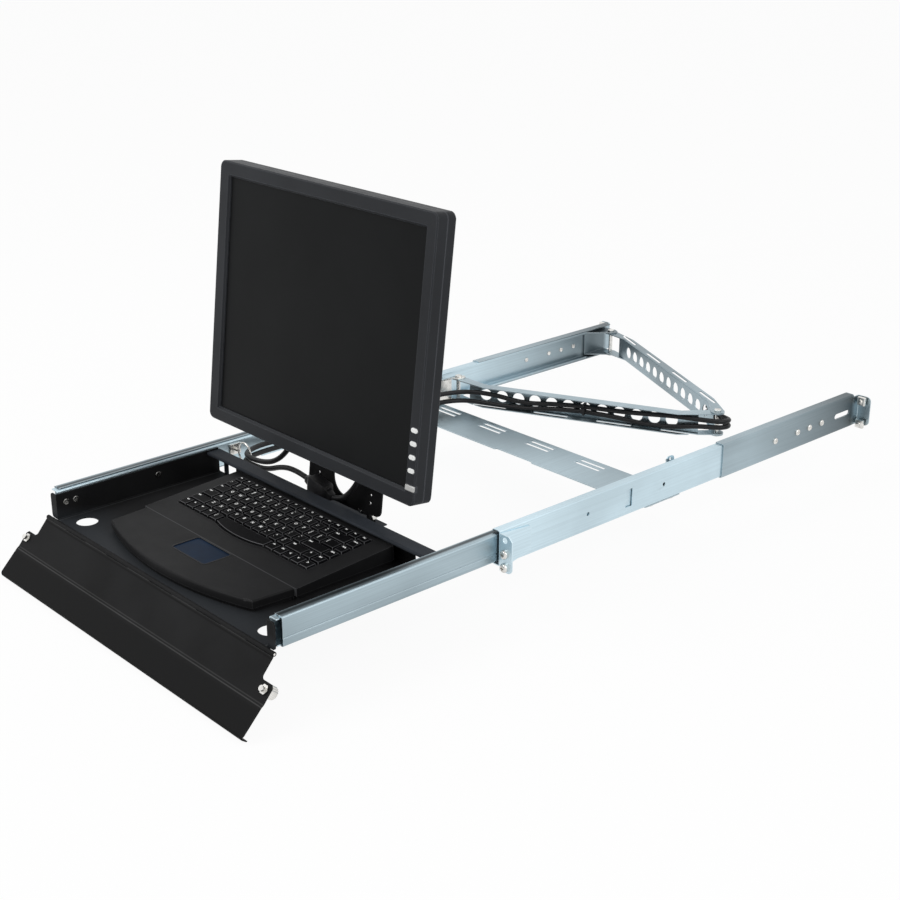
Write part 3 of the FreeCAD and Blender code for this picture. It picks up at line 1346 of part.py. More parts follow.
def rear_arm_bracket():
    """Bracket inside the left extension; its slotted lugs give the rear pivot room to float."""
    outer = FLANGE_GAP + ARM_BRACKET_SHEET
    low = ARM_BOTTOM - outer
    high = ARM_TOP + outer
    start = PIVOT_REAR_Y - REAR_BRACKET_LENGTH + ARM_LUG_R
    clevis = arm_clevis(-OUTER_FACE, PIVOT_REAR_Y, start, REAR_BRACKET_LENGTH, low, high, ARM_BRACKET_SHEET)
    width = 2 * ARM_PIN_R + 2 * SLIDE_GAP
    foot = V(PIVOT_X, PIVOT_REAR_Y, low - 1)
    return clevis.cut(slot(width + 2 * REAR_SLOT_PLAY, width, foot, ALONG_Y, ALONG_Z * (high - low + 2)))


def eight_flats(across, centre, axis):
    """Eight-sided outline, a width across its flats, square to an axis."""
    side = axis.cross(ALONG_Z if abs(axis.z) < 0.9 * axis.Length else ALONG_X).normalize()
    reach = across / 2 / math.cos(math.pi / 8)
    corners = [FreeCAD.Rotation(axis, 45 * step + 22.5).multVec(side * reach) for step in range(9)]
    return Part.makePolygon([centre + corner for corner in corners])


def lead(points, name):
    """Lead with eight flats along a route: straight runs joined by arcs as large as the runs allow."""
    edges = []
    radii = []
    length = 0.0
    at = points[0]
    for before, corner, after in zip(points, points[1:], points[2:]):
        into = corner - before
        out = after - corner
        turn = into.getAngle(out)
        reach = 0.45 * min(into.Length, out.Length)
        radius = reach / math.tan(turn / 2)
        radii.append(radius)
        into.normalize()
        out.normalize()
        start = corner - into * reach
        end = corner + out * reach
        crown = corner + (out - into).normalize() * (radius / math.cos(turn / 2) - radius)
        edges.append(Part.LineSegment(at, start).toShape())
        edges.append(Part.Arc(start, crown, end).toShape())
        at = end
    edges.append(Part.LineSegment(at, points[-1]).toShape())
    path = Part.Wire(edges)
    section = eight_flats(LEAD_D, points[0], points[1] - points[0])
    tube = path.makePipeShell([section], True, False)
    expected = path.Length * Part.Face(section).Area
    print(f"{name}: length {path.Length:.0f}, least radius {min(radii):.1f}, "
          f"volume ratio {tube.Volume / expected:.4f}")
    return tube


def front_arm_point(x, y, z):
    """A point of the front arm, x along it and y to its left."""
    angle = math.radians(ARM_ANGLE)
    along = V(math.cos(angle), math.sin(angle), 0)
    across = V(-math.sin(angle), math.cos(angle), 0)
    return V(PIVOT_X, PIVOT_FRONT_Y, z) + along * x + across * y


def rear_arm_point(x, y, z):
    """A point of the rear arm, x along it from the elbow and y to its left."""
    angle = math.radians(180 - ARM_ANGLE)
    along = V(math.cos(angle), math.sin(angle), 0)
    across = V(-math.sin(angle), math.cos(angle), 0)
    return V(ELBOW_X, ELBOW_Y, z) + along * x + across * y


def monitor_point(x, depth, u):
    """A point of the leaned monitor: depth behind its face, u up from the face's bottom edge."""
    lean = math.radians(LEAN)
    back = depth * math.cos(lean) + u * math.sin(lean)
    rise = u * math.cos(lean) - depth * math.sin(lean)
    return V(x, FACE_Y + back, FACE_Z + rise)


# Routes of the two leads, from the monitor to the plugs in the rear arm
TRAY_RUN_X = -192.0
TIE_X = ARM_HOLE_FIRST + TIE_HOLE * ARM_HOLE_PITCH
TROUGH_Y = -(FRONT_ARM_WEB + FRONT_ARM_EDGE) / 2
REAR_TROUGH_Y = -(REAR_ARM_WEB + ARM_SHEET + REAR_ARM_EDGE) / 2
ELBOW_R = 15.0
ELBOW_STEPS = 4
PLUG_X = 24.0
LEAD_EXIT_U = MONITOR_PLUG_U - MONITOR_PLUG_BOOT
INLINE_START = V(-46, -53, 17)
INLINE_END = V(2, -53, 8)
INLINE_RUN = (INLINE_END - INLINE_START).normalize() * 18

VIDEO_MONITOR_ROUTE = [
    monitor_point(SOCKET_X[0], SOCKET_DEPTH, LEAD_EXIT_U), monitor_point(SOCKET_X[0], SOCKET_DEPTH, 8),
    V(-84, -47, 44), V(-106, -52, 20), V(-140, -53, 9), V(-177, -53, 9), V(-186, -33, 7.5),
]
POWER_MONITOR_ROUTE = [
    monitor_point(SOCKET_X[1], SOCKET_DEPTH, LEAD_EXIT_U), monitor_point(SOCKET_X[1], SOCKET_DEPTH, 8),
    V(46, -48, 40), V(37, -52, 14), INLINE_END + INLINE_RUN, INLINE_END,
]
POWER_RING_ROUTE = [
    INLINE_START, INLINE_START - INLINE_RUN, V(-92, -53, 18), V(-128, -53, 3), V(-157, -53.5, 1),
    V(-178, -52, 1), V(-184.5, -33, -0.5),
]
VIDEO_TRAY_TURN = VIDEO_MONITOR_ROUTE[-1] + (VIDEO_MONITOR_ROUTE[-1] - VIDEO_MONITOR_ROUTE[-2]) * 0.9
POWER_TRAY_TURN = POWER_RING_ROUTE[-1] + (POWER_RING_ROUTE[-1] - POWER_RING_ROUTE[-2]) * 0.9


def tray_route(start, turn, z, side_step):
    """Route of a lead from the ring, along the left rail and into the front arm as far as the tie."""
    x = TRAY_RUN_X + side_step
    points = [start, turn, V(x, 24, z), V(x - 1, 110, z + 0.8), V(x + 1, 200, z - 0.5), V(x + 1, 262, z)]
    points.append(front_arm_point(14, TROUGH_Y - 2, z))
    points.append(front_arm_point(56, TROUGH_Y, z + 1))
    points.append(front_arm_point(104, TROUGH_Y, z - 2.5))
    points.append(front_arm_point(TIE_X - 40, TROUGH_Y + 1.5, z))
    points.append(front_arm_point(TIE_X, TROUGH_Y + 1.5, z))
    return points


def elbow_route(z):
    """Route of a lead from the tie, round the elbow's pin and into the rear arm as far as its plug."""
    points = [front_arm_point(TIE_X, TROUGH_Y + 1.5, z)]
    for x, y, rise in ((230, 1.5, 0), (272, -0.5, -1), (312, 1, 0.5), (340, 2.5, 0)):
        points.append(front_arm_point(x, TROUGH_Y + y, z + rise))
    step = (180 - 2 * ARM_ANGLE) / ELBOW_STEPS
    first = ARM_ANGLE - 90 + step / 2
    reach = ELBOW_R / math.cos(math.radians(step / 2))
    for count in range(ELBOW_STEPS):
        angle = math.radians(first + count * step)
        points.append(V(ELBOW_X + reach * math.cos(angle), ELBOW_Y + reach * math.sin(angle), z))
    points.append(rear_arm_point(12, REAR_TROUGH_Y, z))
    points.append(rear_arm_point(PLUG_X, REAR_TROUGH_Y, z))
    return points


def monitor_leads():
    """Both leads between the monitor and the ring on the left rail."""
    return Part.makeCompound([
        lead(VIDEO_MONITOR_ROUTE, "video lead, monitor to ring"),
        lead(POWER_MONITOR_ROUTE, "power lead, monitor to coupler"),
        lead(POWER_RING_ROUTE, "power lead, coupler to ring"),
    ])


def tray_leads():
    """Both leads from the ring to the tie on the front arm."""
    return Part.makeCompound([
        lead(tray_route(VIDEO_MONITOR_ROUTE[-1], VIDEO_TRAY_TURN, VIDEO_LEAD_Z, -1.5),
             "video lead, ring to tie"),
        lead(tray_route(POWER_RING_ROUTE[-1], POWER_TRAY_TURN, POWER_LEAD_Z, 1.5), "power lead, ring to tie"),
    ])


def elbow_leads():
    """Both leads from the tie, round the elbow, to their plugs."""
    return Part.makeCompound([
        lead(elbow_route(VIDEO_LEAD_Z), "video lead, tie to plug"),
        lead(elbow_route(POWER_LEAD_Z), "power lead, tie to plug"),
    ])


def tapered(length, start_half, end_half):
    """Square boot along X that grows from one half-width to another."""
    squares = []
    for x, half in ((0, start_half), (length, end_half)):
        corners = [V(x, -half, -half), V(x, half, -half), V(x, half, half), V(x, -half, half)]
        corners.append(corners[0])
        squares.append(Part.makePolygon(corners))
    return Part.makeLoft(squares, True, True)


def inline_coupler():
    """Coupler in the power lead: two moulded halves with boots, and the screws that hold them together."""
    axis = INLINE_END - INLINE_START
    reach = axis.Length
    boot = COUPLER_BOOT
    flange = COUPLER_FLANGE
    grip = box(boot, reach - boot, -COUPLER_DEPTH / 2, COUPLER_DEPTH / 2,
               -COUPLER_HEIGHT / 2, COUPLER_HEIGHT / 2)
    corners = [edge for edge in grip.Edges if edge.BoundBox.XLength > reach / 2]
    grip = grip.makeChamfer(COUPLER_HEIGHT / 6, corners)
    middle = box(reach / 2 - flange, reach / 2 + flange, -COUPLER_DEPTH / 2, COUPLER_DEPTH / 2,
                 -COUPLER_HEIGHT / 2 - 1, COUPLER_HEIGHT / 2 + 1)
    near = tapered(boot, LEAD_D / 2 + 0.6, COUPLER_DEPTH / 3)
    far = tapered(boot, LEAD_D / 2 + 0.6, COUPLER_DEPTH / 3)
    far.rotate(V(0, 0, 0), ALONG_Z, 180)
    far.translate(V(reach, 0, 0))
    body = fused([grip, middle, near, far])
    body.Placement = FreeCAD.Placement(INLINE_START, FreeCAD.Rotation(ALONG_X, axis))
    return body


def monitor_plugs():
    """Plugs of the two leads, pushed up into the sockets under the monitor's bulge."""
    solids = []
    for x in SOCKET_X:
        foot = V(x, SOCKET_DEPTH, LEAD_EXIT_U)
        boot = tapered(MONITOR_PLUG_BOOT, LEAD_D / 2 + 0.6, MONITOR_PLUG_THICKNESS / 2 - 1)
        boot.rotate(V(0, 0, 0), ALONG_Y, -90)
        boot.translate(foot)
        solids.append(leaned(fused([plug_box(x, 0), boot])))
    return Part.makeCompound(solids)


def lead_plugs():
    """Moulded plugs at the far ends of the leads, tied into the rear arm."""
    solids = []
    for z in (VIDEO_LEAD_Z, POWER_LEAD_Z):
        grip = box(PLUG_BOOT, PLUG_LENGTH - PLUG_NOSE, -PLUG_WIDTH / 2, PLUG_WIDTH / 2,
                   -PLUG_HEIGHT / 2, PLUG_HEIGHT / 2)
        boot = tapered(PLUG_BOOT, LEAD_D / 2 + 0.2, PLUG_HEIGHT / 2 - 0.2)
        half_tip = PLUG_WIDTH / 2 - PLUG_TIP_INSET
        tip = box(PLUG_BOOT + PLUG_TIP_SETBACK, PLUG_LENGTH, -half_tip, half_tip, -PLUG_TIP / 2, PLUG_TIP / 2)
        plug = fused([grip, boot, tip])
        solids.append(arm_frame(plug, rear_arm_point(PLUG_X, REAR_TROUGH_Y, z), 180 - ARM_ANGLE))
    return Part.makeCompound(solids)


def cable_tie():
    """Tie round both leads, through a hole of the front arm's web."""
    low = POWER_LEAD_Z - LEAD_D / 2 - SLIDE_GAP
    high = VIDEO_LEAD_Z + LEAD_D / 2 + SLIDE_GAP
    near = TROUGH_Y + 1.5 - LEAD_D / 2 - SLIDE_GAP
    far = SLIDE_GAP - FRONT_ARM_WEB
    outer = box(-TIE_WIDTH / 2, TIE_WIDTH / 2, near - TIE_SHEET, far + TIE_SHEET,
                low - TIE_SHEET, high + TIE_SHEET)
    inner = box(-TIE_WIDTH, TIE_WIDTH, near, far, low, high)
    lock = box(-TIE_WIDTH, TIE_WIDTH, near - TIE_SHEET - 2.5, near - TIE_SHEET / 2, -1.5, 3.5)
    return arm_frame(fused([outer.cut(inner), lock]), front_arm_point(TIE_X, 0, 0), ARM_ANGLE)


def ring_disc(radius, centre):
    """Disc of the cable ring, with flats."""
    corners = []
    for step in range(RING_FLATS + 1):
        angle = 2 * math.pi * step / RING_FLATS
        corners.append(centre + V(radius * math.cos(angle), 0, radius * math.sin(angle)))
    return Part.Face(Part.makePolygon(corners)).extrude(ALONG_Y * RING_WIRE)


def cable_ring():
    """Flat ring on the left inner rail that gathers the leads."""
    centre = V(RING_X, RING_Y - RING_WIRE / 2, RING_Z)
    ring = ring_disc(RING_R + RING_WIRE / 2, centre)
    hole = ring_disc(RING_R - RING_WIRE / 2, centre)
    foot = box(-TRAY_HALF, -TRAY_HALF + RING_WIRE, RING_Y - RING_FOOT_HALF, RING_Y + RING_FOOT_HALF,
               RING_Z - RING_FOOT_RISE, RING_Z + RING_FOOT_RISE)
    stem = box(-TRAY_HALF + RING_WIRE / 2, RING_X - RING_R, RING_Y - RING_WIRE / 2, RING_Y + RING_WIRE / 2,
               RING_Z - RING_STEM_RISE, RING_Z + RING_STEM_RISE)
    return fused([ring, foot, stem]).cut(hole)


def rail_clips():
    """Folded clips on the left inner rail that hold the two leads."""
    solids = []
    outer = TRAY_RUN_X + LEAD_D / 2 + 4.0
    low = POWER_LEAD_Z - LEAD_D / 2 - 2.0
    high = VIDEO_LEAD_Z + LEAD_D / 2 + 2.2
    path = [
        (-TRAY_HALF, high),
        (-TRAY_HALF, low),
        (outer, low),
        (outer, high - 3),
    ]
    for y in CLIP_Y:
        solids.append(prism(folded(path, CLIP_SHEET, CLIP_SHEET), in_xz(y), ALONG_Y * CLIP_WIDTH))
    return Part.makeCompound(solids)


def all_nodes():
    """Every sub-part by its node name."""
    nodes = {}
    for name, side in SIDES.items():
        nodes[f"{name}_outer_rail"] = on_side(outer_rail(), side)
        nodes[f"{name}_front_bracket"] = on_side(front_bracket(), side)
        nodes[f"{name}_rear_extension"] = on_side(rear_extension(), side)
        nodes[f"{name}_ball_cage"] = on_side(ball_cage(), side)
        nodes[f"{name}_slide_member"] = on_side(slide_member(), side)
        nodes[f"{name}_inner_rail"] = on_side(inner_rail(side > 0), side)
        nodes[f"{name}_thumbscrew"] = thumbscrew(side)
    nodes["rail_bolts"] = rail_bolts()
    nodes["cross_brace"] = cross_brace()
    nodes["tray_pan"] = tray_pan()
    nodes["wall_screws"] = wall_screws()
    nodes["rear_bar"] = rear_bar()
    nodes["hinge_lugs"] = hinge_lugs()
    nodes["panel_hinge_leaf"] = hinge_leaf()
    nodes["panel_hinge_pin"] = hinge_pin()
    nodes["front_panel"] = front_panel()
    nodes["keyboard_base"] = keyboard_base()
    nodes["keyboard_deck"] = keyboard_deck()
    nodes["touchpad"] = touchpad()
    for name, (index, widths) in KEY_ROWS.items():
        nodes[f"{name}_key_row"] = key_row(index, widths)
    nodes["space_bar"] = space_bar()
    nodes["monitor_bezel"] = monitor_bezel()
    nodes["lcd_panel"] = lcd_panel()
    nodes["monitor_back"] = monitor_back()
    nodes["monitor_bracket"] = monitor_bracket()
    nodes["bracket_screws"] = bracket_screws()
    nodes["tilt_pins"] = tilt_pins()
    for number, u in enumerate(MENU_BUTTON_U, start=1):
        nodes[f"menu_button_{number}"] = menu_button(u)
    nodes["power_button"] = power_button()
    nodes["front_arm"] = front_arm()
    nodes["rear_arm"] = rear_arm()
    nodes["elbow_pin"] = elbow_pin()
    nodes["front_arm_pin"] = front_arm_pin()
    nodes["rear_arm_pin"] = rear_arm_pin()
    nodes["front_arm_bracket"] = front_arm_bracket()
    nodes["rear_arm_bracket"] = rear_arm_bracket()
    nodes["cable_tie"] = cable_tie()
    nodes["cable_ring"] = cable_ring()
    nodes["rail_clips"] = rail_clips()
    nodes["monitor_leads"] = monitor_leads()
    nodes["tray_leads"] = tray_leads()
    nodes["elbow_leads"] = elbow_leads()
    nodes["inline_coupler"] = inline_coupler()
    nodes["monitor_plugs"] = monitor_plugs()
    nodes["lead_plugs"] = lead_plugs()
    return nodes


os.makedirs("parts", exist_ok=True)
for node, shape in all_nodes().items():
    print(f"{node}: {len(shape.Solids)} solids, {shape.Volume:.0f} mm3, valid {shape.isValid()}")
    shape.exportStep(f"parts/{node}.step")
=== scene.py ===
"""Looks of a pull-out rack tray with a keyboard and a fold-back monitor, laid out as a Blender add-on.

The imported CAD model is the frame. The operators coat it, and add leads, legends and fasteners to it.
"""
import math

import bmesh
import bpy
from bpy.props import FloatProperty, FloatVectorProperty, PointerProperty
from mathutils import Matrix, Vector


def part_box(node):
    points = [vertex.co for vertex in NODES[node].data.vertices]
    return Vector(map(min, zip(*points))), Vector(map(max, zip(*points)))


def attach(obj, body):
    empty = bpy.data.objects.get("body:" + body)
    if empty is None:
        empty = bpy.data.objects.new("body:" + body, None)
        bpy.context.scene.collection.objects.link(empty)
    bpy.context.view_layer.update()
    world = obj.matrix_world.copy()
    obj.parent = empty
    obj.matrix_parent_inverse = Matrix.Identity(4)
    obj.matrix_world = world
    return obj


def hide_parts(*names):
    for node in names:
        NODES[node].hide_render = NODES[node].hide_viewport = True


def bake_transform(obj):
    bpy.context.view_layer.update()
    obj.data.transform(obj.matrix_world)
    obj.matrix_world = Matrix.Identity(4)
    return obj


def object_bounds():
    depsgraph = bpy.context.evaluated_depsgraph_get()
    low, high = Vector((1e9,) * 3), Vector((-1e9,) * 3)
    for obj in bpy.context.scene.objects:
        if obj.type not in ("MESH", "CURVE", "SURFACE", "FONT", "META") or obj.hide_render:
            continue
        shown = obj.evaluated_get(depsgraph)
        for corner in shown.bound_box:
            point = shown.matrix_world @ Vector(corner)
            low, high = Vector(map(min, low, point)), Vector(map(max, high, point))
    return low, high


bl_info = {
    "name": "Rack keyboard tray",
    "version": (1, 0, 0),
    "blender": (4, 5, 0),
    "location": "3D View > Sidebar > Tray",
    "description": "Coats the tray's frame and adds its leads, key legends, fasteners and stage",
    "category": "Object",
}

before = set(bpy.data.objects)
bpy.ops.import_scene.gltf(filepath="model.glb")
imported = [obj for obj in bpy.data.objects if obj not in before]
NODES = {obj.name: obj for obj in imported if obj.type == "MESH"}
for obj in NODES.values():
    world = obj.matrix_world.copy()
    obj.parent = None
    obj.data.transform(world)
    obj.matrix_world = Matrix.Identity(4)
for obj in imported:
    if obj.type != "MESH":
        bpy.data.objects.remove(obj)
CAD_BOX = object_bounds()
MM = 0.001


def mm(*numbers):
    """A point given in millimetres, as a vector in metres."""
    return Vector(numbers) * MM


UP = Vector((0, 0, 1))
RIGHT = Vector((1, 0, 0))
LYING = (0, math.pi / 2, 0)

# Places that the CAD model also uses, in millimetres where they are plain numbers
HOLE_COLUMNS = (-232.55, 232.55)
BRACKET_FACE = -1.5
HOLE_PITCH = 15.875
REAR_FLANGE = 660.7
LEAN = math.radians(6.83)
MONITOR_FACE_Y = -91.4
MONITOR_FACE_Z = 65.1
KEY_SLOPE = math.radians(3.6)
KEY_ORIGIN = mm(0, -212.6, -3.3)
KEY_LEFT = -124.0
KEY_UNIT = 15.25
KEY_GAP = 1.8
KEY_FRONT = 32.6
KEY_PITCH = 15.7
KEY_DEPTH = 13.9
FUNCTION_KEY_DEPTH = 11.0
KEY_TOP = 2.0
KEY_PLANE = Matrix.Translation(KEY_ORIGIN) @ Matrix.Rotation(KEY_SLOPE, 4, "X")
PIVOT = Vector((-200.0, 327.3))
ELBOW = Vector((130.0, 484.0))
ARM_ANGLE = math.radians(25.4006)
VIDEO_Z = 4.6
POWER_Z = -2.6
TIE = (188.8, -17.5)
TILT_AXIS = mm(0, -30.477, -6.453)
HINGE = mm(0, -296, -17)
PANEL_SLOPE = math.radians(49.8)
PANEL_DOWN = Vector((0, -math.cos(PANEL_SLOPE), -math.sin(PANEL_SLOPE)))
PANEL_OUT = Vector((0, math.sin(PANEL_SLOPE), -math.cos(PANEL_SLOPE)))


def panel_reach(down):
    """How far along PANEL_DOWN a line of the panel lies, given in millimetres below its hinge."""
    return HINGE.dot(PANEL_DOWN) + down * MM


def monitor_point(x, depth, u):
    """A point of the leaning monitor, in metres: depth behind its face, u up its face."""
    return mm(
        x,
        MONITOR_FACE_Y + depth * math.cos(LEAN) + u * math.sin(LEAN),
        MONITOR_FACE_Z + u * math.cos(LEAN) - depth * math.sin(LEAN),
    )


def arm_point(pivot, angle, along, across, z):
    """A point of an arm, in metres, measured from its pivot."""
    x = pivot.x + along * math.cos(angle) - across * math.sin(angle)
    y = pivot.y + along * math.sin(angle) + across * math.cos(angle)
    return mm(x, y, z)


def front_arm(along, across, z):
    return arm_point(PIVOT, ARM_ANGLE, along, across, z)


def rear_arm(along, across, z):
    return arm_point(ELBOW, math.pi - ARM_ANGLE, along, across, z)


# Routes of the leads, from the monitor to the plugs past the elbow
COUPLER_START = mm(-46, -53, 17)
COUPLER_END = mm(2, -53, 8)
COUPLER_RUN = (COUPLER_END - COUPLER_START).normalized() * 18 * MM
VIDEO_MONITOR = [
    monitor_point(-78, 50, 34),
    monitor_point(-78, 50, 8),
    mm(-84, -47, 44),
    mm(-106, -52, 20),
    mm(-140, -53, 9),
    mm(-177, -53, 9),
    mm(-186, -33, 7.5),
]
POWER_MONITOR = [
    monitor_point(48, 50, 34),
    monitor_point(48, 50, 8),
    mm(43, -45, 42),
    mm(29, -48, 21),
    COUPLER_END + COUPLER_RUN * 0.8 + mm(0, 0, 4),
    COUPLER_END,
]
POWER_RING = [
    COUPLER_START,
    COUPLER_START - COUPLER_RUN,
    mm(-92, -53, 18),
    mm(-128, -53, 3),
    mm(-157, -53.5, 1),
    mm(-178, -52, 1),
    mm(-184.5, -33, -0.5),
]


def tray_route(before, x, z, slack):
    """A lead from the ring along the rail and into the front arm, where it rises and sinks, up to the tie."""
    start = before[-1]
    turn = start + (start - before[-2]) * 0.9
    return [
        start,
        turn,
        mm(x, 24, z),
        mm(x - 1, 110, z + 0.8),
        mm(x + 1, 200, z - 0.5),
        mm(x + 1, 262, z + slack[0]),
        front_arm(14, -21, z + slack[1]),
        front_arm(56, -19, z + slack[2]),
        front_arm(104, -19.5, z + slack[3]),
        front_arm(148.8, -17.5, z + slack[4]),
        front_arm(*TIE, z),
    ]


def elbow_route(z, slack, lift):
    """A lead from the tie round the elbow pin, a little higher or lower, to its plug in the rear arm."""
    step = math.radians(32.3)
    first = ARM_ANGLE - math.pi / 2 + step / 2
    reach = 15 / math.cos(step / 2)
    bend = []
    for i, rise in enumerate(lift):
        angle = first + i * step
        bend.append(mm(ELBOW.x + reach * math.cos(angle), ELBOW.y + reach * math.sin(angle), z + rise))
    return [
        front_arm(*TIE, z),
        front_arm(230, -17.5, z + slack[0]),
        front_arm(272, -19.5, z + slack[1]),
        front_arm(312, -18, z + slack[2]),
        front_arm(340, -16.5, z + slack[3]),
        *bend,
        rear_arm(12, -11.6, z),
        rear_arm(24, -11.6, z),
    ]


VIDEO_TRAY = tray_route(VIDEO_MONITOR, -193.5, VIDEO_Z, (0.0, 0.0, 1.0, -6.5, -1.6))
POWER_TRAY = tray_route(POWER_RING, -190.5, POWER_Z, (-3.0, -5.0, -6.6, -6.8, -1.2))
VIDEO_ELBOW = elbow_route(VIDEO_Z, (-0.4, 2.0, 4.2, 3.2), (3.0, 2.6, 1.6, 0.6))
POWER_ELBOW = elbow_route(POWER_Z, (-0.8, -5.4, -4.0, 0.8), (2.0, 2.0, 1.2, 0.4))

# Rows of keys from the front: the body they ride on, and each key's width in units with its legend
KEY_ROWS = [
    ("bottom_keys", [(1, "Ctrl"), (1, "Fn"), (1, "Sys"), (1, "Alt"), (1, "|\n\\"), (6, ""), (1, "Alt"),
                     (1, "Ctrl"), (1, "<"), (1, "v"), (1, ">")]),
    ("shift_keys", [(2, "Shift")] + [(1, letter) for letter in "ZXCVBNM"]
     + [(1, "<\n,"), (1, ">\n."), (1, "?\n/"), (2, "Shift"), (1, "^"), (1, "End")]),
    ("home_keys", [(1.5, "Caps")] + [(1, letter) for letter in "ASDFGHJKL"]
     + [(1, ":\n;"), (1, "\"\n'"), (2.5, "Enter"), (1, "PgDn")]),
    ("letter_keys", [(1.5, "Tab")] + [(1, letter) for letter in "QWERTYUIOP"]
     + [(1, "{\n["), (1, "}\n]"), (1.5, "|\n\\"), (1, "PgUp")]),
    ("number_keys", [(1, upper + "\n" + lower) for upper, lower in zip("~!@#$%^&*()_+", "`1234567890-=")]
     + [(2, "Back"), (1, "Home")]),
    ("function_keys", [(1, "Esc")] + [(1, "F" + str(number)) for number in range(1, 13)]
     + [(1, "Prt"), (1, "Pse"), (1, "Del")]),
]


def colour(name, description, value):
    return FloatVectorProperty(
        name=name, description=description, subtype="COLOR", size=3, min=0, max=1, default=value
    )


def length(name, description, value):
    return FloatProperty(
        name=name, description=description, subtype="DISTANCE", unit="LENGTH", min=0, default=value
    )


class TrayColours(bpy.types.PropertyGroup):
    """Colours of the tray's finishes."""

    zinc: colour("Zinc plate", "Rails, brackets and cable arm", (0.43, 0.53, 0.58))
    nickel: colour("Nickel plate", "Pins, screws, thumbscrews and ring", (0.74, 0.73, 0.70))
    black_powder: colour("Black powder coat", "Tray, panel and monitor bracket", (0.0085, 0.0086, 0.0090))
    grey_powder: colour("Grey powder coat", "Bar behind the keyboard", (0.019, 0.022, 0.027))
    charcoal: colour("Monitor plastic", "Bezel and back of the monitor", (0.022, 0.0235, 0.0265))
    screen: colour("Screen", "Dark screen of the monitor", (0.0070, 0.0075, 0.0079))
    deck: colour("Keyboard plastic", "Deck and base of the keyboard", (0.0105, 0.0106, 0.0112))
    keys: colour("Keys", "Key caps", (0.0026, 0.0026, 0.0031))
    # Painted highlight on the keys' rounded edges.
    rims: colour("Key rims", "Rounded edges of the key caps", (0.046, 0.047, 0.050))
    legends: colour("Legends", "Letters on the keys", (0.90, 0.91, 0.90))
    touchpad: colour("Touchpad", "Touchpad's film", (0.0030, 0.0115, 0.0290))
    white_button: colour("Menu buttons", "Four oval buttons of the monitor", (0.80, 0.81, 0.80))
    grey_button: colour("Power button", "Long button of the monitor", (0.46, 0.46, 0.45))
    rubber: colour("Lead sheath", "Leads, plugs, coupler and tie", (0.012, 0.012, 0.013))


class TraySizes(bpy.types.PropertyGroup):
    """Sizes of the pieces that the frame doesn't hold."""

    lead: length("Lead diameter", "Diameter of both leads", 6.5 * MM)
    coupler_height: length("Coupler height", "Height of the hood that joins the power lead's halves", 20 * MM)
    coupler_depth: length("Coupler depth", "Depth of the hood that joins the power lead's halves", 15 * MM)
    sheet_edge: length("Sheet edge", "Rounding of the edges of the sheet metal", 0.35 * MM)
    plastic_edge: length("Plastic edge", "Rounding of the edges of the mouldings", 0.7 * MM)
    key_edge: length("Key edge", "Rounding of the edges of the keys", 0.45 * MM)
    letter: length("Letter size", "Size of a single letter on a key", 5.3 * MM)
    word: length("Word size", "Size of a word on a key", 2.7 * MM)
    rack_head: length("Rack screw head", "Radius of the heads on the front brackets", 5.2 * MM)
    square_nut: length("Square nut", "Side of the nuts on the rear flanges", 11.0 * MM)
    rivet: length("Rail rivet", "Radius of the rivet heads on the rails", 4.2 * MM)
    ring_wire: length("Ring wire", "Diameter of the wire ring that gathers the leads", 2.4 * MM)
    wall_screw: length("Wall screw", "Radius of the screw heads on the tray's walls", 3.8 * MM)
    back_screw: length("Bracket screw", "Radius of the screw heads behind the monitor", 4.0 * MM)


class StageSettings(bpy.types.PropertyGroup):
    """Camera, lamps and floor."""

    lens: FloatProperty(name="Lens", description="Focal length in millimetres", default=61.91, min=10)
    sky: FloatProperty(name="Sky", description="Strength of the light from all sides", default=0.55, min=0)
    key: FloatProperty(
        name="Key lamp", description="Power of the large lamp", default=34.0, min=0, unit="POWER"
    )
    fill: FloatProperty(
        name="Fill lamp", description="Power of the second lamp", default=16.0, min=0, unit="POWER"
    )


class Value:
    """One output of a tree's nodes. Sums of such values add Math nodes to the tree."""

    def __init__(self, nodes, socket):
        self.nodes = nodes
        self.socket = socket

    def maths(self, operation, first, second):
        return self.nodes.node("ShaderNodeMath", {"operation": operation}, {0: first, 1: second})

    def __add__(self, other):
        return self.maths("ADD", self, other)

    def __sub__(self, other):
        return self.maths("SUBTRACT", self, other)

    def __rsub__(self, other):
        return self.maths("SUBTRACT", other, self)

    def __mul__(self, other):
        return self.maths("MULTIPLY", self, other)

    __radd__ = __add__
    __rmul__ = __mul__

    def between(self, low, high):
        """This value, 0 at low and below, 1 at high and above."""
        inputs = {"Value": self, "From Min": low, "From Max": high}
        return self.nodes.node("ShaderNodeMapRange", {"clamp": True}, inputs)


class Nodes:
    """The nodes of a material or of the world."""

    def __init__(self, tree):
        self.tree = tree

    def node(self, kind, settings, inputs, output=0):
        """Adds a node of that kind with its settings, fills its sockets, and gives one of its outputs."""
        made = self.tree.nodes.new(kind)
        for key, value in settings.items():
            setattr(made, key, value)
        for key, value in inputs.items():
            self.feed(made.inputs[key], value)
        return Value(self, made.outputs[output])

    def feed(self, socket, value):
        if isinstance(value, Value):
            self.tree.links.new(value.socket, socket)
        else:
            socket.default_value = value

    def seen(self):
        """1 for rays that show the surroundings: from the camera, or by way of metal or glass."""
        rays = ("Is Camera Ray", "Is Glossy Ray", "Is Transmission Ray")
        camera, glossy, through = (self.node("ShaderNodeLightPath", {}, {}, ray) for ray in rays)
        return (camera + glossy + through).between(0, 1)


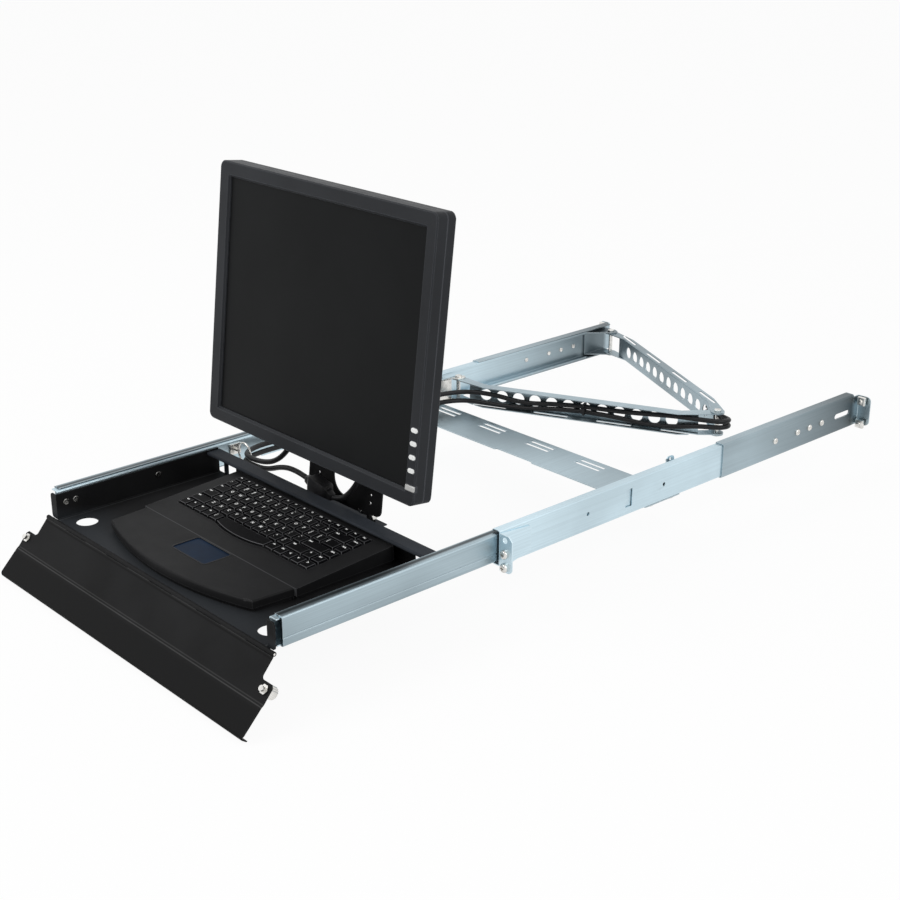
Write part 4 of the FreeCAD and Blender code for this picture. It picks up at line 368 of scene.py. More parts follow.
class Finish(Nodes):
    """A procedural material. Its patterns lie on Object coordinates, in metres."""

    def __init__(self, name, **constants):
        self.material = bpy.data.materials.new(name)
        self.material.use_nodes = True
        super().__init__(self.material.node_tree)
        self.shader = self.tree.nodes["Principled BSDF"]
        self.place = self.node("ShaderNodeTexCoord", {}, {}, "Object")
        self.wear(**constants)

    def noise(self, scale, detail=2.0, stretch=(1, 1, 1), turn=0.0):
        """Noise with about scale waves to the metre, stretched along an axis or turned about Z."""
        inputs = {"Vector": self.place, "Rotation": (0, 0, turn), "Scale": stretch}
        place = self.node("ShaderNodeMapping", {}, inputs)
        return self.node("ShaderNodeTexNoise", {}, {"Vector": place, "Scale": scale, "Detail": detail}, "Fac")

    def edge(self, radius):
        """How near a surface is to an edge: 0 on the flat, rising along the edges."""
        soft = self.node("ShaderNodeBevel", {"samples": 4}, {"Radius": radius})
        hard = self.node("ShaderNodeNewGeometry", {}, {}, "Normal")
        return (1 - self.product(soft, hard)).between(0.02, 0.25)

    def product(self, first, second):
        return self.node("ShaderNodeVectorMath", {"operation": "DOT_PRODUCT"}, {0: first, 1: second}, "Value")

    def along(self, direction):
        """How far along a direction a point of the surface lies."""
        return self.product(self.place, direction)

    def line(self, direction, reach, width):
        """1 on a straight line that crosses the surface at that reach along a direction, 0 beside it."""
        away = self.node("ShaderNodeMath", {"operation": "ABSOLUTE"}, {0: self.along(direction) - reach})
        return 1 - away.between(width * 0.3, width)

    def mix(self, first, second, factor):
        """A colour between two others."""
        inputs = {0: factor, 6: self.solid(first), 7: self.solid(second)}
        return self.node("ShaderNodeMix", {"data_type": "RGBA", "clamp_factor": True}, inputs, 2)

    def solid(self, shade):
        return shade if isinstance(shade, Value) else (*shade[:3], 1.0)

    def range(self, shade, darkest, palest, factor):
        """The shade, from its darkest to its palest."""
        return self.mix(tinted(shade, darkest), tinted(shade, palest), factor)

    def bump(self, height, strength, distance):
        return self.node("ShaderNodeBump", {}, {"Height": height, "Strength": strength, "Distance": distance})

    def wear(self, **sockets):
        """Fills sockets of the shader, and gives the material."""
        for socket, value in sockets.items():
            self.feed(self.shader.inputs[socket.replace("_", " ")], value)
        return self.material


def tinted(shade, factor):
    """A colour made darker or lighter."""
    return tuple(min(1.0, channel * factor) for channel in shade)


def zinc_plate(name, shade, turn=0.0, contrast=0.16, painted_shade_lines=(), painted_shade_reach=None):
    """Zinc-plated rolled steel: streaks along the rolling direction, a cloudy bloom, worn edges and painted
    shade.

    The lines along Y are where painted shade darkens the plate, for the shade in the deep gap beside a slide
    member. The reach along Y is where painted shade darkens the plate toward the rear, with what is left of
    its shade there.
    """
    finish = Finish(name, Metallic=1.0)
    streaks = finish.noise(1, 3.0, (620, 4, 620), turn)
    scratches = finish.noise(1, 1.0, (2600, 24, 2600), turn)
    sweep = finish.noise(1, 1.0, (7, 5.5, 16), turn)
    bloom = finish.noise(17, 4.0)
    spangle = finish.noise(520, 2.0)
    edge = finish.edge(0.9 * MM)
    rolled = finish.range(shade, 1 - contrast, 1 + contrast, sweep.between(0.32, 0.68))
    dull = finish.mix(rolled, tinted(shade, 0.74), streaks.between(0.38, 0.80) * 0.45)
    bloom_and_painted_shade = finish.mix(dull, tinted(shade, 1.25), bloom.between(0.45, 0.80) * 0.3)
    # Painted shade: the plate darkens along Y toward the rear, though not on the rear flange.
    if painted_shade_reach:
        start, end, left = painted_shade_reach
        y = finish.along((0, 1, 0))
        flange = y.between((REAR_FLANGE - 12) * MM, (REAR_FLANGE - 4) * MM)
        bloom_and_painted_shade = finish.mix(bloom_and_painted_shade, tinted(shade, left), (y + sweep * 0.05).between(start, end) * (1 - flange))
    # Painted shade: dark lines along Y stand in for the shade in the deep gap beside a slide member.
    for x in painted_shade_lines:
        gap_shade = finish.line((1, 0, 0), x * MM, 4.4 * MM) * (0.75 + bloom * 0.3)
        bloom_and_painted_shade = finish.mix(bloom_and_painted_shade, tinted(shade, 0.10), gap_shade)
    worn_and_painted_light = finish.mix(bloom_and_painted_shade, (0.84, 0.88, 0.90), edge * 0.55)
    rough = 0.26 + bloom * 0.16 + scratches * 0.10 - edge * 0.08
    normal = finish.bump(scratches * 0.7 + spangle * 0.3, 0.07, 0.08 * MM)
    return finish.wear(Base_Color=worn_and_painted_light, Roughness=rough, Normal=normal)


def nickel_plate(name, shade):
    """Bright nickel plate with fine turning marks and a little haze."""
    finish = Finish(name, Metallic=1.0)
    haze = finish.noise(160, 3.0)
    tone = finish.range(shade, 0.72, 1.15, haze.between(0.3, 0.7))
    bright = finish.mix(tone, (0.92, 0.92, 0.90), finish.edge(0.5 * MM) * 0.5)
    marks = finish.bump(finish.noise(2600, 1.0), 0.08, 0.05 * MM)
    return finish.wear(Base_Color=bright, Roughness=0.15 + haze * 0.18, Normal=marks)


def powder_coat(name, shade, worn, painted_crease_lines=(), painted_light_fades=()):
    """Powder coat: a fine orange-peel grain, uneven sheen, edges that have gone thin, and painted light and
    shade.

    A crease line is a painted highlight or painted shade along a fold, at a reach along a direction. A fade
    is painted light or shade that changes the colour over a stretch of a direction.
    """
    finish = Finish(name, Specular_IOR_Level=0.07)
    grain = finish.noise(1500, 2.0)
    peel = finish.noise(420, 1.0)
    patch = finish.noise(14, 4.0)
    scuff = finish.noise(1, 3.0, (60, 700, 60))
    edge = finish.edge(1.1 * MM)
    tone = finish.range(shade, 0.72, 1.5, patch.between(0.3, 0.7))
    speckled_and_painted_light = finish.mix(tone, tinted(shade, 2.6), grain.between(0.55, 0.8) * 0.35)
    thin = edge * scuff.between(0.35, 0.7)
    # Painted light and shade: each fade lightens or darkens a stretch of the surface.
    for direction, start, end, colour in painted_light_fades:
        speckled_and_painted_light = finish.mix(speckled_and_painted_light, colour, finish.along(direction).between(start, end) * 0.8)
    worn_and_painted_light = finish.mix(speckled_and_painted_light, worn, thin * 0.5)
    # Painted highlights and painted shade along the folds.
    for direction, reach, width, colour, strength in painted_crease_lines:
        crease = finish.line(direction, reach, width * MM) * (0.6 + patch * 0.7)
        worn_and_painted_light = finish.mix(worn_and_painted_light, colour, crease * strength)
    rough = 0.46 + patch * 0.14 - thin * 0.1
    return finish.wear(
        Base_Color=worn_and_painted_light, Roughness=rough, Normal=finish.bump(grain * 0.6 + peel * 0.4, 0.3, 0.25 * MM)
    )


def moulded_plastic(name, shade, grain_size, rough, shine=0.10, rim=1.2, edge_highlight=3.6, painted_highlight_lines=()):
    """Moulded plastic: spark-etched grain and slight cloudiness, with painted highlights on its edges and
    lines.
    """
    finish = Finish(name, Specular_IOR_Level=shine)
    grain = finish.noise(grain_size, 2.0)
    cloud = finish.noise(11, 3.0)
    smudge = finish.noise(45, 4.0)
    edge = finish.edge(rim * MM)
    tone = finish.range(shade, 0.82, 1.22, cloud.between(0.3, 0.7))
    # Painted highlights along the edges and along the given lines.
    pale = finish.mix(tone, tinted(shade, edge_highlight), edge * 0.7)
    for direction, reach in painted_highlight_lines:
        pale = finish.mix(pale, tinted(shade, edge_highlight), finish.line(direction, reach, 0.7 * MM) * 0.6)
    gloss = rough + smudge * 0.14 - edge * 0.12
    return finish.wear(Base_Color=pale, Roughness=gloss, Normal=finish.bump(grain, 0.22, 0.12 * MM))


def plain_coat(name, shade, shine, cloud, tones, rough, grain=None):
    """A coat whose shade and sheen drift with a cloud, over a fine grain: glass, film, rubber or ink.

    Cloud is its noise's scale and detail. Tones are the darkest and the palest shade, and the cloud's values
    at which they are reached. Rough is the least roughness and what the cloud adds to it. Grain is its
    noise's scale and detail, with the strength of its bumps and their height in millimetres.
    """
    finish = Finish(name, Specular_IOR_Level=shine)
    drift = finish.noise(*cloud)
    darkest, palest, low, high = tones
    tone = finish.range(shade, darkest, palest, drift.between(low, high))
    if grain:
        scale, detail, strength, height = grain
        finish.wear(Normal=finish.bump(finish.noise(scale, detail), strength, height * MM))
    return finish.wear(Base_Color=tone, Roughness=rough[0] + drift * rough[1])


def finish_of(name):
    """A material that an operator has made."""
    return bpy.data.materials[name]


def clear_selection():
    if bpy.context.object and bpy.context.object.mode != "OBJECT":
        bpy.ops.object.mode_set(mode="OBJECT")
    bpy.ops.object.select_all(action="DESELECT")


def make_active(piece):
    clear_selection()
    piece.select_set(True)
    bpy.context.view_layer.objects.active = piece


def pick(kind, test):
    """Selects the faces or the points in edit mode for which the test holds, and nothing else."""
    mesh = bpy.context.object.data
    work = bmesh.from_edit_mesh(mesh)
    bpy.ops.mesh.select_mode(type=kind)
    bpy.ops.mesh.select_all(action="DESELECT")
    for part in work.faces if kind == "FACE" else work.verts:
        part.select_set(bool(test(part)))
    work.select_flush(True)
    bmesh.update_edit_mesh(mesh)


def pick_toward(direction, least=0.9):
    """Selects the faces that look along a direction."""
    pick("FACE", lambda face: face.normal.dot(direction) > least)


def pick_all():
    bpy.ops.mesh.select_all(action="SELECT")


def begin(add, scale=(1, 1, 1), **settings):
    """Adds a shape with an operator, puts its size and place into its mesh, and opens it in edit mode."""
    clear_selection()
    add(**settings)
    piece = bpy.context.object
    piece.scale = scale
    bpy.ops.object.transform_apply(location=True, rotation=True, scale=True)
    bpy.ops.object.mode_set(mode="EDIT")
    return piece


def end(piece, place=Matrix.Identity(4)):
    """Closes a piece that is in edit mode, and puts it to its place."""
    bpy.ops.object.mode_set(mode="OBJECT")
    settle(piece, place)
    return piece


def merge(distance):
    """Joins the points that lie nearer together than a distance."""
    pick_all()
    bpy.ops.mesh.remove_doubles(threshold=distance)


def extrude(x=0.0, z=0.0):
    """Draws the picked faces out along X or Z."""
    bpy.ops.mesh.extrude_region_move(TRANSFORM_OT_translate={"value": (x, 0, z)})


def round_off(width, segments):
    """Rounds the picked edges."""
    bpy.ops.mesh.bevel(offset=width, segments=segments, affect="EDGES")


def face_outward():
    """Makes all the normals look outward."""
    pick_all()
    bpy.ops.mesh.normals_make_consistent(inside=False)


def settle(piece, place=Matrix.Identity(4)):
    """Puts a piece's place into its mesh, so that its object sits at the origin."""
    bpy.context.view_layer.update()
    piece.data.transform(place @ piece.matrix_world)
    piece.matrix_world = Matrix.Identity(4)


def apply_all(piece):
    make_active(piece)
    for modifier in list(piece.modifiers):
        bpy.ops.object.modifier_apply(modifier=modifier.name)


def repeat(model, name, places):
    """Copies a model to its places, each copy with its own mesh, and joins the copies."""
    settle(model)
    copies = []
    for place in places:
        copy = bpy.data.objects.new(name, model.data.copy())
        bpy.context.scene.collection.objects.link(copy)
        copy.data.transform(place)
        copies.append(copy)
    bpy.data.objects.remove(model)
    return join(name, copies)


def join(name, parts):
    clear_selection()
    for part in parts:
        part.select_set(True)
    bpy.context.view_layer.objects.active = parts[0]
    if len(parts) > 1:
        bpy.ops.object.join()
    parts[0].name = name
    return parts[0]


def hand_over(piece, material, body, angle=35, nodes=()):
    """Shades a finished piece, coats it, and lets it ride on a body in place of CAD nodes."""
    make_active(piece)
    bpy.ops.object.shade_smooth_by_angle(angle=math.radians(angle))
    if material:
        piece.data.materials.clear()
        piece.data.materials.append(finish_of(material))
    if body:
        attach(piece, body)
    if nodes:
        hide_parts(*nodes)
    return piece


def add_bevel(piece, width, segments, angle):
    """A modifier that rounds the edges that are sharper than an angle, given in degrees."""
    bevel = piece.modifiers.new("round", "BEVEL")
    bevel.width = width
    bevel.segments = segments
    bevel.limit_method = "ANGLE"
    bevel.angle_limit = math.radians(angle)
    return bevel


def round_edges(piece, width, rim=-1):
    """Live modifiers that join loose triangles, round the edges in the rim's coat and keep flats flat."""
    weld = piece.modifiers.new("weld", "WELD")
    weld.merge_threshold = 0.005 * MM
    add_bevel(piece, width, 2, 32).material = rim
    flat = piece.modifiers.new("flat", "WEIGHTED_NORMAL")
    flat.keep_sharp = True


def set_hardware(model, name, places, body, nodes=(), coat="nickel_plate"):
    """Repeats a model at its places and hands it over as hardware."""
    hand_over(repeat(model, name, places), coat, body, nodes=nodes)


def facing(direction, place):
    """A place for a model that stands on Z 0, turned so that its top looks along a direction."""
    turn = UP.rotation_difference(Vector(direction)).to_matrix().to_4x4()
    return Matrix.Translation(place) @ turn


def model_screw(head, height, shank, reach, recess):
    """A pan-head screw that stands on Z 0: a dome with a cross recess, and a shank below it."""
    screw = begin(bpy.ops.mesh.primitive_cylinder_add,
                  vertices=28, radius=head, depth=height, location=UP * height / 2)
    pick_toward(UP)
    round_off(height * 0.62, 4)
    pick_toward(-UP)
    bpy.ops.mesh.inset(thickness=head - shank)
    extrude(z=-reach)
    end(screw)
    for turn in (0, math.pi / 2):
        blade = begin(bpy.ops.mesh.primitive_cube_add, (head * 0.95, head * 0.22, recess * 2),
                      size=1, location=UP * height, rotation=(0, 0, turn))
        end(blade)
        cut = screw.modifiers.new("recess", "BOOLEAN")
        cut.operation = "DIFFERENCE"
        cut.solver = "EXACT"
        cut.object = blade
        apply_all(screw)
        bpy.data.objects.remove(blade)
    return screw


def model_rivet(radius, height):
    """A domed rivet head that stands on Z 0, with a small dimple."""
    rivet = begin(bpy.ops.mesh.primitive_cylinder_add,
                  vertices=24, radius=radius, depth=height, location=UP * height / 2)
    pick_toward(UP)
    round_off(height * 0.7, 3)
    pick_toward(UP, 0.99)
    bpy.ops.mesh.inset(thickness=radius * 0.22)
    extrude(z=-height * 0.3)
    return end(rivet)


def model_square_nut(side, height, bore, below):
    """A square nut that stands on Z 0, with the end of its bolt above it and the bolt's head below."""
    nut = begin(bpy.ops.mesh.primitive_cube_add, (side, side, height), size=1, location=UP * height / 2)
    pick_toward(UP)
    round_off(height * 0.22, 2)
    end(nut)
    reach = height + below + 2 * MM
    bolt = begin(bpy.ops.mesh.primitive_cylinder_add,
                 vertices=24, radius=bore, depth=reach, location=UP * (reach / 2 - below))
    pick_toward(UP)
    round_off(bore * 0.25, 2)
    pick_toward(-UP)
    extrude()
    bpy.ops.transform.resize(value=(1.75, 1.75, 1))
    extrude(z=-3.4 * MM)
    round_off(0.8 * MM, 2)
    end(bolt)
    return join("square_nut", [nut, bolt])


class TRAY_OT_coat_frame(bpy.types.Operator):
    """Makes the finishes, coats every part of the frame and rounds its edges"""

    bl_idname = "tray.coat_frame"
    bl_label = "Coat the frame"

    COATS = {
        "zinc_steel": "zinc_rail",
        "bright_steel": "nickel_plate",
        "black_powder": "black_powder_coat",
        "grey_powder": "grey_powder_coat",
        "charcoal_plastic": "monitor_plastic",
        "dark_screen": "screen_glass",
        "keyboard_black": "keyboard_plastic",
        "key_black": "key_caps",
        "touchpad_navy": "touchpad_film",
        "button_white": "white_button",
        "button_grey": "grey_button",
        "lead_black": "lead_sheath",
    }
    OWN = {
        "left_slide_member": "zinc_slide",
        "right_slide_member": "zinc_slide",
        "left_rear_extension": "zinc_extension",
        "right_rear_extension": "zinc_extension",
        "front_arm": "zinc_front_arm",
        "rear_arm": "zinc_rear_arm",
        "cross_brace": "zinc_cross",
        "tray_pan": "tray_powder_coat",
        "front_panel": "panel_powder_coat",
    }
    PLASTIC = ("charcoal_plastic", "keyboard_black", "lead_black", "button_white", "button_grey")
    SHARP = ("lcd_panel", "touchpad", "left_ball_cage", "right_ball_cage", "panel_hinge_pin")

    def execute(self, context):
        shades = context.scene.tray_colours
        sizes = context.scene.tray_sizes
        # Lighter and darker copies of one zinc: painted light and shade for how the light falls on each part.
        zinc_plate("zinc_rail", tinted(shades.zinc, 1.36), contrast=0.12, painted_shade_reach=(0.40, 0.66, 0.30))
        zinc_plate("zinc_slide", tinted(shades.zinc, 0.80), contrast=0.22, painted_shade_lines=(-211.8, 211.8))
        zinc_plate("zinc_extension", tinted(shades.zinc, 0.86), painted_shade_reach=(0.46, 0.68, 0.28))
        zinc_plate("zinc_front_arm", tinted(shades.zinc, 0.80), math.pi / 2 - ARM_ANGLE, 0.3)
        zinc_plate("zinc_rear_arm", tinted(shades.zinc, 0.80), ARM_ANGLE - math.pi / 2, 0.3)
        zinc_plate("zinc_cross", tinted(shades.zinc, 0.96), math.pi / 2, 0.2)
        nickel_plate("nickel_plate", shades.nickel)
        nickel_plate("dull_steel", tinted(shades.nickel, 0.36))
        powder_coat("black_powder_coat", shades.black_powder, (0.10, 0.10, 0.105))
        # Painted highlights (pale) on the panel's ridges and painted shade (black) in its folds.
        pale, black = (0.09, 0.09, 0.09), (0.002, 0.002, 0.002)
        painted_crease_lines = (
            (PANEL_DOWN, panel_reach(2.6), 0.9, pale, 0.28),
            (PANEL_DOWN, panel_reach(5.2), 1.2, black, 0.9),
            (PANEL_DOWN, panel_reach(46.0), 0.8, pale, 0.30),
            (PANEL_DOWN, panel_reach(48.8), 0.8, pale, 0.50),
            (PANEL_DOWN, panel_reach(83.2), 1.5, black, 0.9),
            (PANEL_DOWN, panel_reach(85.4), 0.7, pale, 0.35),
        )
        # Painted shade: the panel's lower face is darker.
        lower = (PANEL_DOWN, panel_reach(48), panel_reach(54), tinted(shades.black_powder, 0.45))
        powder_coat("panel_powder_coat", shades.black_powder, (0.10, 0.10, 0.10), painted_crease_lines, (lower,))
        # Painted highlights along the floor's bends up into its walls.
        painted_crease_lines = tuple(((1, 0, 0), x, 0.8, (0.075, 0.078, 0.08), 0.7) for x in (-0.2005, 0.2005))
        # Painted light: the front of the tray's floor is lighter.
        painted_front_light = ((0, -1, -4), 0.29, 0.345, (0.026, 0.029, 0.033))
        powder_coat("tray_powder_coat", shades.black_powder, (0.10, 0.10, 0.105), painted_crease_lines, (painted_front_light,))
        powder_coat("grey_powder_coat", shades.grey_powder, (0.14, 0.145, 0.15))
        # The mouldings' paler edges are painted highlights.
        moulded_plastic("monitor_plastic", shades.charcoal, 1900, 0.40, rim=2.2, edge_highlight=5.0)
        tones = (0.85, 1.2, 0.3, 0.7)
        etching = (3200, 1.0, 0.06, 0.03)
        plain_coat("screen_glass", shades.screen, 0.06, (9, 4.0), tones, (0.30, 0.12), etching)
        # Painted highlight along the step between the palm rest and the keys.
        palm_step_highlight = ((0, 1, 0), KEY_ORIGIN.y)
        moulded_plastic("keyboard_plastic", shades.deck, 1500, 0.42, 0.08, rim=1.3, edge_highlight=8.0, painted_highlight_lines=(palm_step_highlight,))
        moulded_plastic("key_caps", shades.keys, 2600, 0.34, 0.03)
        # Painted highlight: the keys' rounded edges take a paler coat.
        moulded_plastic("key_rim_highlight", shades.rims, 2600, 0.24, 0.3)
        tones = (0.75, 1.35, 0.3, 0.7)
        stipple = (2600, 1.0, 0.12, 0.05)
        plain_coat("touchpad_film", shades.touchpad, 0.05, (38, 3.0), tones, (0.34, 0.12), stipple)
        moulded_plastic("white_button", shades.white_button, 2400, 0.34, 0.5)
        moulded_plastic("grey_button", shades.grey_button, 2400, 0.34, 0.5)
        tones = (0.8, 1.8, 0.45, 0.75)
        ripples = (240, 2.0, 0.18, 0.3)
        plain_coat("lead_sheath", shades.rubber, 0.24, (700, 4.0), tones, (0.36, 0.16), ripples)
        plain_coat("legend_ink", shades.legends, 0.3, (1800, 3.0), (0.78, 1.08, 0.3, 0.6), (0.5, 0.1))
        for name, node in NODES.items():
            slot = node.data.materials[0].name.split(".")[0]
            node.material_slots[0].material = finish_of(self.OWN.get(name) or self.COATS[slot])
            if name in self.SHARP:
                continue
            if slot == "key_black":
                node.data.materials.append(finish_of("key_rim_highlight"))
                round_edges(node, sizes.key_edge, 1)
            elif slot in self.PLASTIC:
                round_edges(node, sizes.plastic_edge, 0)
            else:
                round_edges(node, sizes.sheet_edge, 0)
        return {"FINISHED"}


class TRAY_OT_fit_coupler(bpy.types.Operator):
    """Fits the coupler that joins the power lead's halves: a hood with boots and two thumbscrews"""

    bl_idname = "tray.fit_coupler"
    bl_label = "Fit the lead coupler"

    def execute(self, context):
        sizes = context.scene.tray_sizes
        line = COUPLER_END - COUPLER_START
        hood = self.hood(line.length, sizes.coupler_height, sizes.coupler_depth)
        screws = [self.thumbscrew(line.length * 0.29, z * sizes.coupler_height) for z in (-0.34, 0.34)]
        piece = join("lead_coupler", [hood, *screws])
        turn = line.to_track_quat("X", "Z").to_matrix().to_4x4()
        settle(piece, Matrix.Translation((COUPLER_START + COUPLER_END) / 2) @ turn)
        hand_over(piece, "lead_sheath", "tray", 30, nodes=("inline_coupler",))
        return {"FINISHED"}

    def hood(self, reach, height, depth):
        """The hood, drawn along X, drawn out at both ends into a collar and a boot."""
        hood = begin(bpy.ops.mesh.primitive_cube_add, (reach * 0.56, depth, height), size=1)
        for side in (-1, 1):
            pick_toward(RIGHT * side)
            extrude(side * reach * 0.07)
            bpy.ops.transform.resize(value=(1, 0.72, 0.62))
            bpy.ops.mesh.inset(thickness=0.9 * MM)
            extrude(side * reach * 0.07)
            bpy.ops.transform.resize(value=(1, 0.92, 0.86))
            extrude(side * reach * 0.09)
            bpy.ops.transform.resize(value=(1, 0.85, 0.80))
        end(hood)
        add_bevel(hood, 1.1 * MM, 3, 25)
        apply_all(hood)
        return hood

    def thumbscrew(self, x, z):
        """A small ribbed screw that stands out of the hood's end."""
        screw = begin(bpy.ops.mesh.primitive_cylinder_add,
                      vertices=16, radius=2.0 * MM, depth=7 * MM, location=(x, 0, z), rotation=LYING)
        pick_toward(RIGHT)
        bpy.ops.mesh.inset(thickness=0.8 * MM)
        extrude(-0.8 * MM)
        return end(screw)


class TRAY_OT_lay_leads(bpy.types.Operator):
    """Lays the video lead and the power lead along their routes, in place of the frame's plain tubes"""

    bl_idname = "tray.lay_leads"
    bl_label = "Lay the leads"

    def execute(self, context):
        coupler = bpy.data.objects["lead_coupler"]
        piece = self.lead("video_monitor_lead", VIDEO_MONITOR, 0.175, "object", [NODES["monitor_plugs"]])
        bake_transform(piece)
        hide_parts("monitor_leads")
        piece = self.lead("power_monitor_lead", POWER_MONITOR, 0.118, "connector", [coupler])
        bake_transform(piece)
        piece = self.lead("power_ring_lead", POWER_RING, 0.153, "object", [])
        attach(piece, "tray")
        for name, route in (("video_tray_lead", VIDEO_TRAY), ("power_tray_lead", POWER_TRAY)):
            piece = self.lead(name, route, 0.523, "object", [])
            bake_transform(piece)
            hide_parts("tray_leads")
        for name, route in (("video_elbow_lead", VIDEO_ELBOW), ("power_elbow_lead", POWER_ELBOW)):
            piece = self.lead(name, route, 0.235, "plug", [NODES["lead_plugs"]])
            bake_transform(piece)
            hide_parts("elbow_leads")
        return {"FINISHED"}

    def lead(self, name, route, real_length, far_end, pieces):
        """A mesh tube along a smooth line that has the route's points as its control points."""
        thick = bpy.context.scene.tray_sizes.lead
        clear_selection()
        line = bpy.data.curves.new(name, "CURVE")
        line.dimensions = "3D"
        line.resolution_u = 8
        spline = line.splines.new("NURBS")
        spline.points.add(len(route) - 1)
        for point, place in zip(spline.points, route):
            point.co = (*place, 1.0)
        spline.order_u = 3
        spline.use_endpoint_u = True
        piece = bpy.data.objects.new(name, line)
        bpy.context.scene.collection.objects.link(piece)
        bpy.context.view_layer.update()
        traced = bpy.data.meshes.new_from_object(piece)
        bpy.data.meshes.remove(traced)
        line.bevel_depth = thick / 2
        line.bevel_resolution = 4
        line.use_fill_caps = True
        make_active(piece)
        bpy.ops.object.convert(target="MESH")
        bpy.ops.object.mode_set(mode="EDIT")
        merge(0.001 * MM)
        face_outward()
        end(piece)
        hand_over(piece, "lead_sheath", None, 60)
        return piece


class TRAY_OT_widen_space_bar(bpy.types.Operator):
    """Widens the space bar and its well to six key units, and takes out the two keys in its way"""

    bl_idname = "tray.widen_space_bar"
    bl_label = "Widen the space bar"

    LEFT = KEY_LEFT + 5 * KEY_UNIT
    SPAN = 4 * KEY_UNIT - KEY_GAP
    WIDE_SPAN = 6 * KEY_UNIT - KEY_GAP
    FLATTER = 6.5 / 9.0
    WELL = 1.2
    TAPER = 0.9
    PALM = 20.0

    def execute(self, context):
        sizes = context.scene.tray_sizes
        bar = self.flat_copy("space_bar", "wide_space_bar")
        self.stretch(self.LEFT, self.WIDE_SPAN / self.SPAN, lambda p: True)
        self.flatten(KEY_FRONT, lambda p: p.z < 1)
        self.flatten(KEY_FRONT + self.TAPER, lambda p: p.z > 1)
        self.give_back(bar, "space_bar", "space_bar", "key_black", sizes.key_edge, 1)

        keys = self.flat_copy("bottom_key_row", "bottom_key_caps")
        first, last = self.LEFT + self.SPAN + 1, self.LEFT + self.WIDE_SPAN + 0.5
        self.pick_points(lambda p: first < p.x < last)
        bpy.ops.mesh.delete(type="VERT")
        self.give_back(keys, "bottom_keys", "bottom_key_row", "key_black", sizes.key_edge, 1)

        deck = self.flat_copy("keyboard_deck", "deck_shell")
        left, front, span = self.LEFT - self.WELL, KEY_FRONT - self.WELL, self.SPAN + 2 * self.WELL
        self.stretch(left, (self.WIDE_SPAN + 2 * self.WELL) / span,
                     lambda p: self.PALM < p.y < front + 0.05 and left - 0.3 < p.x < left + span + 0.3)
        self.flatten(front, lambda p: p.y > self.PALM and p.z > -4)
        self.give_back(deck, "tray", "keyboard_deck", "keyboard_black", sizes.plastic_edge, 0)
        return {"FINISHED"}

    def flat_copy(self, node, name):
        """A merged copy of a CAD part, laid flat in the plane of the keys and opened in edit mode."""
        source = NODES[node]
        copy = bpy.data.objects.new(name, source.data.copy())
        bpy.context.scene.collection.objects.link(copy)
        copy.data.transform(KEY_PLANE.inverted() @ source.matrix_world)
        make_active(copy)
        bpy.ops.object.mode_set(mode="EDIT")
        merge(0.005 * MM)
        self.pick_points(lambda p: p.y > 1)
        bpy.ops.mesh.dissolve_limited(angle_limit=math.radians(0.3))
        return copy

    def pick_points(self, test):
        """Selects the points, given in millimetres, for which the test holds."""
        pick("VERT", lambda vert: test(vert.co / MM))

    def stretch(self, left, factor, test):
        """Widens the points to the right of a line."""
        self.pick_points(test)
        bpy.ops.transform.resize(value=(factor, 1, 1), center_override=mm(left, 0, 0))

    def flatten(self, front, test):
        """Makes the bow in front of a line flatter."""
        self.pick_points(lambda p: p.y < front - 0.01 and test(p))
        bpy.ops.transform.resize(value=(1, self.FLATTER, 1), center_override=mm(0, front, 0))

    def give_back(self, piece, body, node, slot, edge, rim):
        """Puts the copy back on its slope, and lets it ride in place of the CAD part."""
        end(piece, KEY_PLANE)
        make_active(piece)
        bpy.ops.mesh.customdata_custom_splitnormals_clear()
        round_edges(piece, edge, rim)
        hand_over(piece, None, body, nodes=(node,))


class TRAY_OT_print_legends(bpy.types.Operator):
    """Prints the legends on the key caps, and raises the two bars that fingers feel for"""

    bl_idname = "tray.print_legends"
    bl_label = "Print the key legends"

    FROM_LEFT = 3.0
    FROM_REAR = 2.2
    FROM_FRONT = 2.6
    PAIR_SIZE = 1.35

    def execute(self, context):
        sizes = context.scene.tray_sizes
        for index, (body, keys) in enumerate(KEY_ROWS):
            depth = FUNCTION_KEY_DEPTH if body == "function_keys" else KEY_DEPTH
            unit = 0
            prints = []
            for width, legend in keys:
                if legend:
                    left = KEY_LEFT + unit * KEY_UNIT
                    rear = KEY_FRONT + index * KEY_PITCH + depth
                    prints.append(self.print_one(legend, left, rear, sizes))
                    if legend in ("F", "J"):
                        middle = left + (KEY_UNIT - KEY_GAP) / 2
                        prints.append(self.bar(middle, rear - depth + self.FROM_FRONT))
                unit += width
            row = join(body.replace("keys", "legends"), prints)
            settle(row, KEY_PLANE)
            hand_over(row, "legend_ink", body)
        return {"FINISHED"}

    def print_one(self, legend, left, rear, sizes):
        """One legend, flat on the drawing of the keys, near the key's rear left corner."""
        clear_selection()
        single = len(legend) == 1
        pair = "\n" in legend
        bpy.ops.object.text_add(location=mm(left + self.FROM_LEFT, rear - self.FROM_REAR, KEY_TOP + 0.05))
        text = bpy.context.object
        text.data.body = legend
        text.data.size = sizes.letter if single else sizes.word * (self.PAIR_SIZE if pair else 1.0)
        text.data.space_line = 0.95
        text.data.align_x = "LEFT"
        text.data.align_y = "TOP"
        text.data.resolution_u = 2
        text.data.offset = 0.16 * MM
        bpy.ops.object.convert(target="MESH")
        settle(text)
        return text

    def bar(self, x, y):
        """A small raised bar near the front of a key."""
        bar = begin(bpy.ops.mesh.primitive_cube_add, mm(3.4, 0.7, 0.5),
                    size=1, location=mm(x, y, KEY_TOP + 0.15))
        pick_toward(UP)
        round_off(0.2 * MM, 2)
        return end(bar)


